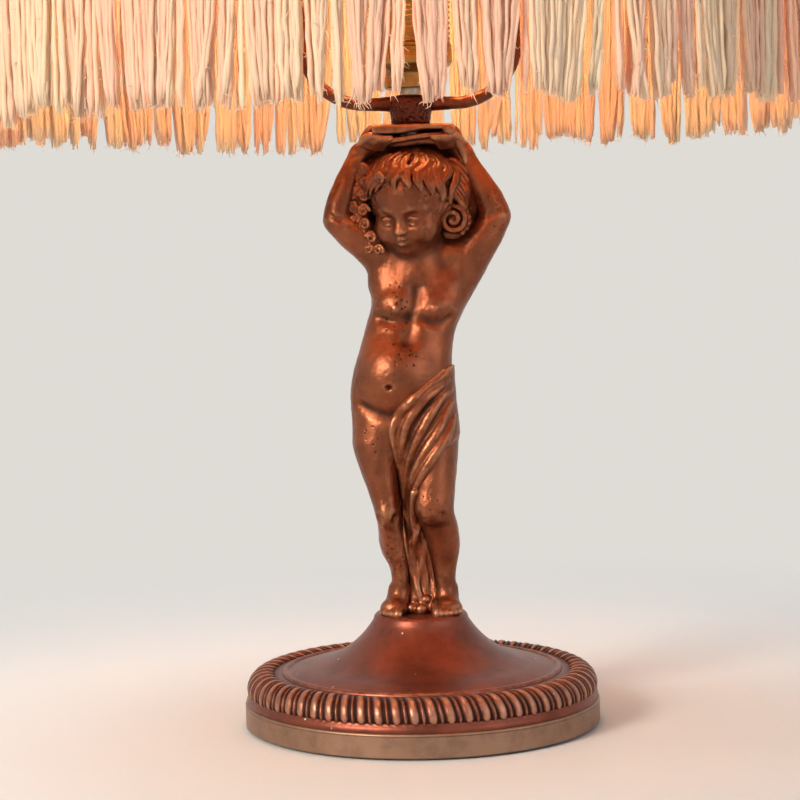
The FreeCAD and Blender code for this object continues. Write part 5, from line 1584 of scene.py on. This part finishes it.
def braid(name, radius, low, high, strand, around, lean=0.0):
    """Three flat-lying strands that pass over and under, between two thin edge cords.

    Around is the radius at which the braid's pitch is measured. It leans in by a share of its rise.
    """
    crossings = int(FULL_TURN * around / (sizes().braid_pitch / MM)) // 3 * 3
    steps = crossings * 4
    turn = FULL_TURN * np.arange(steps) / steps
    half = (high - low) / 2 - strand
    rows = []
    for index in range(3):
        phase = crossings / 3 * turn + FULL_TURN * index / 3
        rise = half * 0.8 * np.sin(phase)
        out = 0.62 * strand * np.sin(2 * phase)
        rows.append((out, rise, np.full(steps, strand)))
    for rise in (half * 1.02, -half * 1.02):
        twist = 0.18 * strand * np.sin(crossings * 3 * turn)
        rows.append((twist, np.full(steps, rise), np.full(steps, 0.72 * strand)))
    centres, radii = [], []
    for out, rise, thick in rows:
        far = radius + out + lean * rise
        centres.append(np.stack([far * np.cos(turn), far * np.sin(turn),
                                 (low + high) / 2 + rise * math.sqrt(1 - lean * lean)], axis=1))
        radii.append(thick)
    piece = tubes(name, np.array(centres), np.array(radii), 6, True)
    places = vertex_places(piece) / MM
    write_attribute(piece, "tone", 0.3 * waves(places, 8, 60, 31))
    return piece


def make_bottom_braid():
    low, high = box_mm("bottom_braid")
    return braid("bottom_braid_woven", high.x - 0.6, low.z, high.z, 1.55, high.x)


def make_top_braid():
    top = box_mm("top_braid")[1].z
    return braid("top_braid_woven", 84.2, top - 8.4, top + 3.6, 1.5, 84, lean=-0.93)


# -------------------- fringe

YARN_PLACES = 14       # places along each yarn
YARN_SIDES = 5
YARN_SEED = 50
LOCK_WIDTH = 8.5       # how far apart the fringe's locks hang
FUZZ_COUNT = 9000
FUZZ_WIDTHS = (0.22, 0.2, 0.06)


def yarn_lines(count, seed):
    """Centre lines, radii and pinkness of kinky yarns that hang in locks under the bottom braid."""
    low, high = box_mm("fringe")
    random = np.random.default_rng(seed)
    middle = high.x - 4.6
    share = np.linspace(0, 1, YARN_PLACES)[None, :]
    turn = FULL_TURN * (np.arange(count) + random.uniform(-0.5, 0.5, count)) / count
    ring = np.stack([np.cos(turn), np.sin(turn), 0 * turn], axis=1) * middle

    clump = waves(ring, 14, 70, seed + 1, 30)
    locks = int(FULL_TURN * middle / LOCK_WIDTH)
    own = np.floor(turn / FULL_TURN * locks + 0.7 * waves(ring, 9, 30, seed + 2, 30)).astype(int)
    lock = np.random.default_rng(seed + 3).normal(size=(locks + 8, 8))[own % locks]
    centre = (own + 0.5) / locks * FULL_TURN
    gather = share ** 3 * np.clip(0.36 + 0.18 * lock[:, :1], 0.05, 0.7)
    angle = turn[:, None] * (1 - gather) + (centre[:, None] + 0.008 * lock[:, 1:2]) * gather
    angle = angle + 0.010 * lock[:, 2:3] * share ** 1.5
    kinks = random.uniform(size=(count, 3))
    angle = angle + 0.0013 * np.sin(FULL_TURN * (share * (3 + 4 * kinks[:, :1])
                                                 + kinks[:, 1:2])) * (0.25 + share)
    depth = 2.9 * random.uniform(-1, 1, count)[:, None] * (0.45 + 0.55 * share)
    depth = depth * (1 - 0.3 * gather) + 1.4 * lock[:, 5:6] * share
    depth = depth + 0.3 * np.sin(FULL_TURN * (share * (2.5 + 3 * kinks[:, 2:]) + kinks[:, :1]))
    far = middle - 0.8 + np.clip(depth, -5.2, 4.6)
    top = high.z + 1.5
    ends = low.z + np.clip(3.6 + 2.2 * lock[:, 6] + random.exponential(1.9, count) + 1.2 * clump,
                           0.2, 22)
    height = top + (ends[:, None] - top) * share
    centres = np.stack([far * np.cos(angle), far * np.sin(angle), height], axis=2)
    width = sizes().strand_width / MM / 2
    lumps = 1 + 0.12 * np.sin(FULL_TURN * (share * (6 + 5 * kinks[:, 1:2]) + kinks[:, 2:]))
    taper = np.clip((1.01 - share) / 0.05, 0.2, 1) ** 0.6
    swell = 1 + 0.45 * np.clip(share - 0.75, 0, 1) / 0.25
    radii = width * (0.8 + 0.5 * random.random((count, 1))) * lumps * taper * swell
    pink = np.clip(0.42 + 0.33 * lock[:, 7] + 0.15 * random.normal(size=count), 0, 1)
    return centres, radii, pink


def strands_of_tone(name, centres, radii, sides, tone):
    """Open strands that each have one tone."""
    piece = tubes(name, centres, radii, sides, False)
    write_attribute(piece, "tone", np.concatenate([np.repeat(tone, centres.shape[1] * sides),
                                                   tone, tone]))
    return piece


def make_fringe():
    """The yarns, in three pieces so that none is too heavy, and the loose fibres on them."""
    centres, radii, pink = yarn_lines(sizes().strand_count, YARN_SEED)
    each = sizes().strand_count // 3
    parts = [slice(index * each, (index + 1) * each) for index in range(3)]
    return [strands_of_tone(f"fringe_yarns_{number}", centres[part], radii[part], YARN_SIDES,
                            pink[part])
            for number, part in enumerate(parts, 1)] + [make_fuzz(centres, pink)]


def make_fuzz(centres, pink):
    """Short loose fibres that stand out from the yarns and hang below their ends."""
    random = np.random.default_rng(77)
    count = FUZZ_COUNT
    yarn = random.integers(0, len(centres), count)
    at = np.minimum((YARN_PLACES * random.random(count) ** 0.55).astype(int), YARN_PLACES - 1)
    start = centres[yarn, at]
    outward = start * (1, 1, 0)
    outward /= np.linalg.norm(outward, axis=1, keepdims=True)
    around = np.cross(outward, (0, 0, 1))
    way = (around * random.normal(size=(count, 1)) * 0.9
           + outward * random.normal(size=(count, 1)) * 0.8
           - np.array((0, 0, 1)) * random.uniform(0.1, 1.2, (count, 1)))
    way /= np.linalg.norm(way, axis=1, keepdims=True)
    length = random.uniform(1.6, 4.6, (count, 1))
    bend = random.normal(size=(count, 3)) * 0.5
    middle = start + way * length * 0.5 + bend
    end = start + way * length - (0, 0, 0.6)
    end[:, 2] = np.maximum(end[:, 2], box_mm("fringe")[0].z - 1)
    lines = np.stack([start, middle, end], axis=1)
    return strands_of_tone("fringe_fuzz", lines, np.tile(FUZZ_WIDTHS, (count, 1)), 3, pink[yarn])


# -------------------- stage

# the photograph's frame is 800 by 800, and its focal length is 2200 of those pixels
FOCAL = 2200 / 800 * 36
CAMERA_AT = (-8.1, -1078.0, 234.0)
CAMERA_PITCH = -3.95     # degrees
CAMERA_ROLL = -0.021     # radians
PALE = "#DFDCD6"


def pale_floor():
    """A plain pale floor that fades into the background away from the lamp."""
    material, add = new_material("pale_floor")
    place = add("TexCoord").outputs["Object"]
    away = add("VectorMath", {0: place}, operation="LENGTH").outputs["Value"]
    fade = add("MapRange", {"Value": away, "From Min": 0.16, "From Max": 0.62},
               interpolation_type="SMOOTHSTEP").outputs[0]
    grain = add("TexNoise", {"Vector": place, "Scale": per_mm(3), "Detail": 2}).outputs["Fac"]
    rough = add("MapRange", {
        "Value": grain, "From Min": 0.3, "From Max": 0.7, "To Min": 0.6, "To Max": 0.7}).outputs[0]
    near = add("BsdfPrincipled", {
        "Base Color": tuple(colours().floor), "Roughness": rough, "Specular IOR Level": 0.3})
    far = add("Emission", {"Color": linear(PALE)})
    return shown(material, add("MixShader", {0: fade, 1: near.outputs[0], 2: far.outputs[0]}))


def make_floor():
    nothing_selected()
    bpy.ops.mesh.primitive_circle_add(vertices=96, radius=6.0, fill_type="TRIFAN")
    floor = bpy.context.object
    floor.name = floor.data.name = "floor"
    floor.data.materials.append(pale_floor())


def area_light(name, place, target, size, power, colour):
    """A soft light at a place in millimetres, turned towards a target."""
    nothing_selected()
    bpy.ops.object.light_add(type="AREA", location=Vector(place) * MM)
    light = bpy.context.object
    light.name = light.data.name = name
    light.data.size = size * MM
    light.data.energy = power
    light.data.color = linear(colour)[:3]
    way = Vector(target) - Vector(place)
    light.rotation_euler = way.to_track_quat("-Z", "Y").to_euler()


def make_world():
    """Pale where it is seen, directly or in metal and glass, and dimmer as a light."""
    world = bpy.data.worlds.new("plain_pale")
    bpy.context.scene.world = world
    world.use_nodes = True
    world.node_tree.nodes.clear()
    add = partial(add_node, world)
    ray = add("LightPath").outputs
    seen = add("Math", {0: ray["Is Camera Ray"], 1: ray["Is Transmission Ray"]},
               operation="MAXIMUM").outputs[0]
    seen = add("Math", {0: seen, 1: ray["Is Glossy Ray"]}, operation="MAXIMUM").outputs[0]
    lit = add("Background", {"Color": linear("#F2F3F5"), "Strength": 0.32})
    pale = add("Background", {"Color": linear(PALE)})
    mix = add("MixShader", {0: seen, 1: lit.outputs[0], 2: pale.outputs[0]})
    add("OutputWorld", {"Surface": mix.outputs[0]})


def make_camera():
    """The photograph's viewpoint: low, level with the figure's head, and rolled a little."""
    nothing_selected()
    bpy.ops.object.camera_add()
    camera = bpy.context.object
    camera.name = camera.data.name = "camera"
    camera.data.sensor_width = 36
    camera.data.lens = FOCAL
    camera.matrix_world = (Matrix.Translation(Vector(CAMERA_AT) * MM)
                           @ Matrix.Rotation(math.radians(90 + CAMERA_PITCH), 4, "X")
                           @ Matrix.Rotation(CAMERA_ROLL, 4, "Z"))
    bpy.context.scene.camera = camera


def make_stage():
    make_floor()
    make_world()
    make_camera()
    area_light("key", (-900, -1000, 700), (0, 0, 170), 420, 20, "#FFF3E4")
    area_light("fill", (1100, -900, 500), (0, 0, 200), 900, 4, "#EEF3FF")
    area_light("top", (-200, 500, 1500), (0, 0, 400), 900, 10, "#FFFFFF")
    bpy.context.scene.view_settings.view_transform = "Standard"


# -------------------- operators

KEPT = {}    # the finishes, and the clay of the body that the drape is laid over


def finish(name):
    """One of the lamp's finishes, made on first use."""
    if "finishes" not in KEPT:
        KEPT["finishes"] = make_materials()
    return KEPT["finishes"][name]


def body():
    """The clay of the figure's body, modelled on first use."""
    if "body" not in KEPT:
        KEPT["body"] = body_clay(clay_step())
    return KEPT["body"]


def clay_step():
    return sizes().clay_step / MM * 1


def refinish(finish_name, *nodes):
    """Give CAD nodes that keep their shape a finish."""
    for name in nodes:
        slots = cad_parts[name].data.materials
        slots.clear()
        slots.append(finish(finish_name))


class LAMP_OT_base(bpy.types.Operator):
    """Base casting with its gadroon ring, and the brass foot band that it stands on"""
    bl_idname = "lamp.base"
    bl_label = "Base and foot band"

    def execute(self, context):
        finish_piece(make_base_casting(), "lamp", "base", "base_casting")
        finish_piece(make_foot_band(), "lamp", "band", "foot_ring")
        return {"FINISHED"}


class LAMP_OT_figure(bpy.types.Operator):
    """The child's body, sculpted in clay"""
    bl_idname = "lamp.figure"
    bl_label = "Figure"

    def execute(self, context):
        piece = body().skin("figure_body", 196000, 3)
        mark_pits(piece)
        finish_piece(piece, "lamp", "figure", "figure_casting")
        return {"FINISHED"}


class LAMP_OT_hair(bpy.types.Operator):
    """Waved hair with a scroll over one ear and ringlets over the other"""
    bl_idname = "lamp.hair"
    bl_label = "Hair"

    def execute(self, context):
        clay = hair_clay(0.9 * clay_step())
        piece = clay.skin("figure_hair", 190000, 4, rubbed=0.45)
        finish_piece(piece, "lamp", "figure", "figure_casting")
        return {"FINISHED"}


class LAMP_OT_drape(bpy.types.Operator):
    """The cloth round the hip, and its end that falls between the legs"""
    bl_idname = "lamp.drape"
    bl_label = "Drape"

    def execute(self, context):
        piece = drape_clay(body()).skin("figure_drape", 160000, 6, rubbed=0.8)
        finish_piece(piece, "lamp", "figure", "figure_casting")
        return {"FINISHED"}


class LAMP_OT_folded_cloth(bpy.types.Operator):
    """The folded cloth on the child's head, which carries the harp"""
    bl_idname = "lamp.folded_cloth"
    bl_label = "Folded cloth"

    def execute(self, context):
        piece = cloth_clay(0.9 * clay_step()).skin("figure_folded_cloth", 60000, 8)
        finish_piece(piece, "lamp", "figure", "figure_casting")
        return {"FINISHED"}


class LAMP_OT_harp(bpy.types.Operator):
    """Hub, bent rod and top boss of the harp"""
    bl_idname = "lamp.harp"
    bl_label = "Harp"

    def execute(self, context):
        finish_piece(make_hub(), "lamp", "harp", "harp_hub")
        finish_piece(make_harp(), "lamp", "harp", "harp_hoop")
        finish_piece(make_boss(), "lamp", "harp", "harp_boss")
        return {"FINISHED"}


class LAMP_OT_lampholder(bpy.types.Operator):
    """Dome and threaded skirt of the lampholder"""
    bl_idname = "lamp.lampholder"
    bl_label = "Lampholder"

    def execute(self, context):
        finish_piece(make_holder_cap(), "lamp", "brass", "holder_cap")
        finish_piece(make_holder_skirt(), "lamp", "brass", "holder_skirt")
        return {"FINISHED"}


class LAMP_OT_bulb(bpy.types.Operator):
    """The lit bulb"""
    bl_idname = "lamp.bulb"
    bl_label = "Bulb"

    def execute(self, context):
        finish_piece(make_bulb(), "bulb", "bulb", "bulb_glass")
        return {"FINISHED"}


class LAMP_OT_shade(bpy.types.Operator):
    """Silk cover, braids and fringe"""
    bl_idname = "lamp.shade"
    bl_label = "Shade"

    def execute(self, context):
        cover = finish_piece(make_cover(), "shade", "silk", "shade_cover")
        trim = [finish_piece(make_bottom_braid(), "shade", "braid", "bottom_braid"),
                finish_piece(make_top_braid(), "shade", "braid", "top_braid")]
        trim += [finish_piece(piece, "shade", "yarn", "fringe")
                 for piece in make_fringe()]
        return {"FINISHED"}


class LAMP_OT_finial(bpy.types.Operator):
    """The turned finial that holds the shade down"""
    bl_idname = "lamp.finial"
    bl_label = "Finial"

    def execute(self, context):
        finish_piece(make_finial(), "finial", "brass", "finial")
        return {"FINISHED"}


class LAMP_OT_fittings(bpy.types.Operator):
    """Finishes of the parts that keep their shape: fasteners, pipe, shade wires, bulb cap"""
    bl_idname = "lamp.fittings"
    bl_label = "Fittings"

    def execute(self, context):
        refinish("baize", "baize_pad")
        refinish("iron", "base_weight")
        refinish("steel", "pipe_washer", "bottom_nut", "lamp_pipe", "bulb_contact", "bulb_cap",
                 "filament")
        refinish("brass", "cord_bush", "cap_set_screw", "screw_shell", "centre_contact",
                 "terminal_screws")
        refinish("porcelain", "holder_insert")
        refinish("black_glass", "bulb_insulator")
        refinish("glass", "bulb_stem")
        refinish("wire", "shade_spider", "shade_top_ring", "shade_bottom_ring", "shade_ribs")
        return {"FINISHED"}


class LAMP_OT_stage(bpy.types.Operator):
    """Pale floor, soft lights, plain world and the photograph's camera"""
    bl_idname = "lamp.stage"
    bl_label = "Stage"

    def execute(self, context):
        make_stage()
        return {"FINISHED"}


OPERATORS = (LAMP_OT_base, LAMP_OT_figure, LAMP_OT_hair, LAMP_OT_drape, LAMP_OT_folded_cloth,
             LAMP_OT_harp, LAMP_OT_lampholder, LAMP_OT_bulb, LAMP_OT_shade, LAMP_OT_finial,
             LAMP_OT_fittings, LAMP_OT_stage)


class LAMP_PT_panel(bpy.types.Panel):
    """Sizes, colours and one button for each piece"""
    bl_idname = "LAMP_PT_panel"
    bl_label = "Figural table lamp"
    bl_space_type = "VIEW_3D"
    bl_region_type = "UI"
    bl_category = "Lamp"

    def draw(self, context):
        for group in (context.scene.lamp_sizes, context.scene.lamp_colours):
            for name in group.__annotations__:
                self.layout.prop(group, name)
        for operator in OPERATORS:
            self.layout.operator(operator.bl_idname)


CLASSES = (LampSizes, LampColours) + OPERATORS + (LAMP_PT_panel,)


def register():
    for each in CLASSES:
        bpy.utils.register_class(each)
    bpy.types.Scene.lamp_sizes = bpy.props.PointerProperty(type=LampSizes)
    bpy.types.Scene.lamp_colours = bpy.props.PointerProperty(type=LampColours)


def unregister():
    del bpy.types.Scene.lamp_colours
    del bpy.types.Scene.lamp_sizes
    for each in reversed(CLASSES):
        bpy.utils.unregister_class(each)


def main():
    register()
    for operator in OPERATORS:
        group, name = operator.bl_idname.split(".")
        getattr(getattr(bpy.ops, group), name)()


if __name__ == "__main__":
    main()
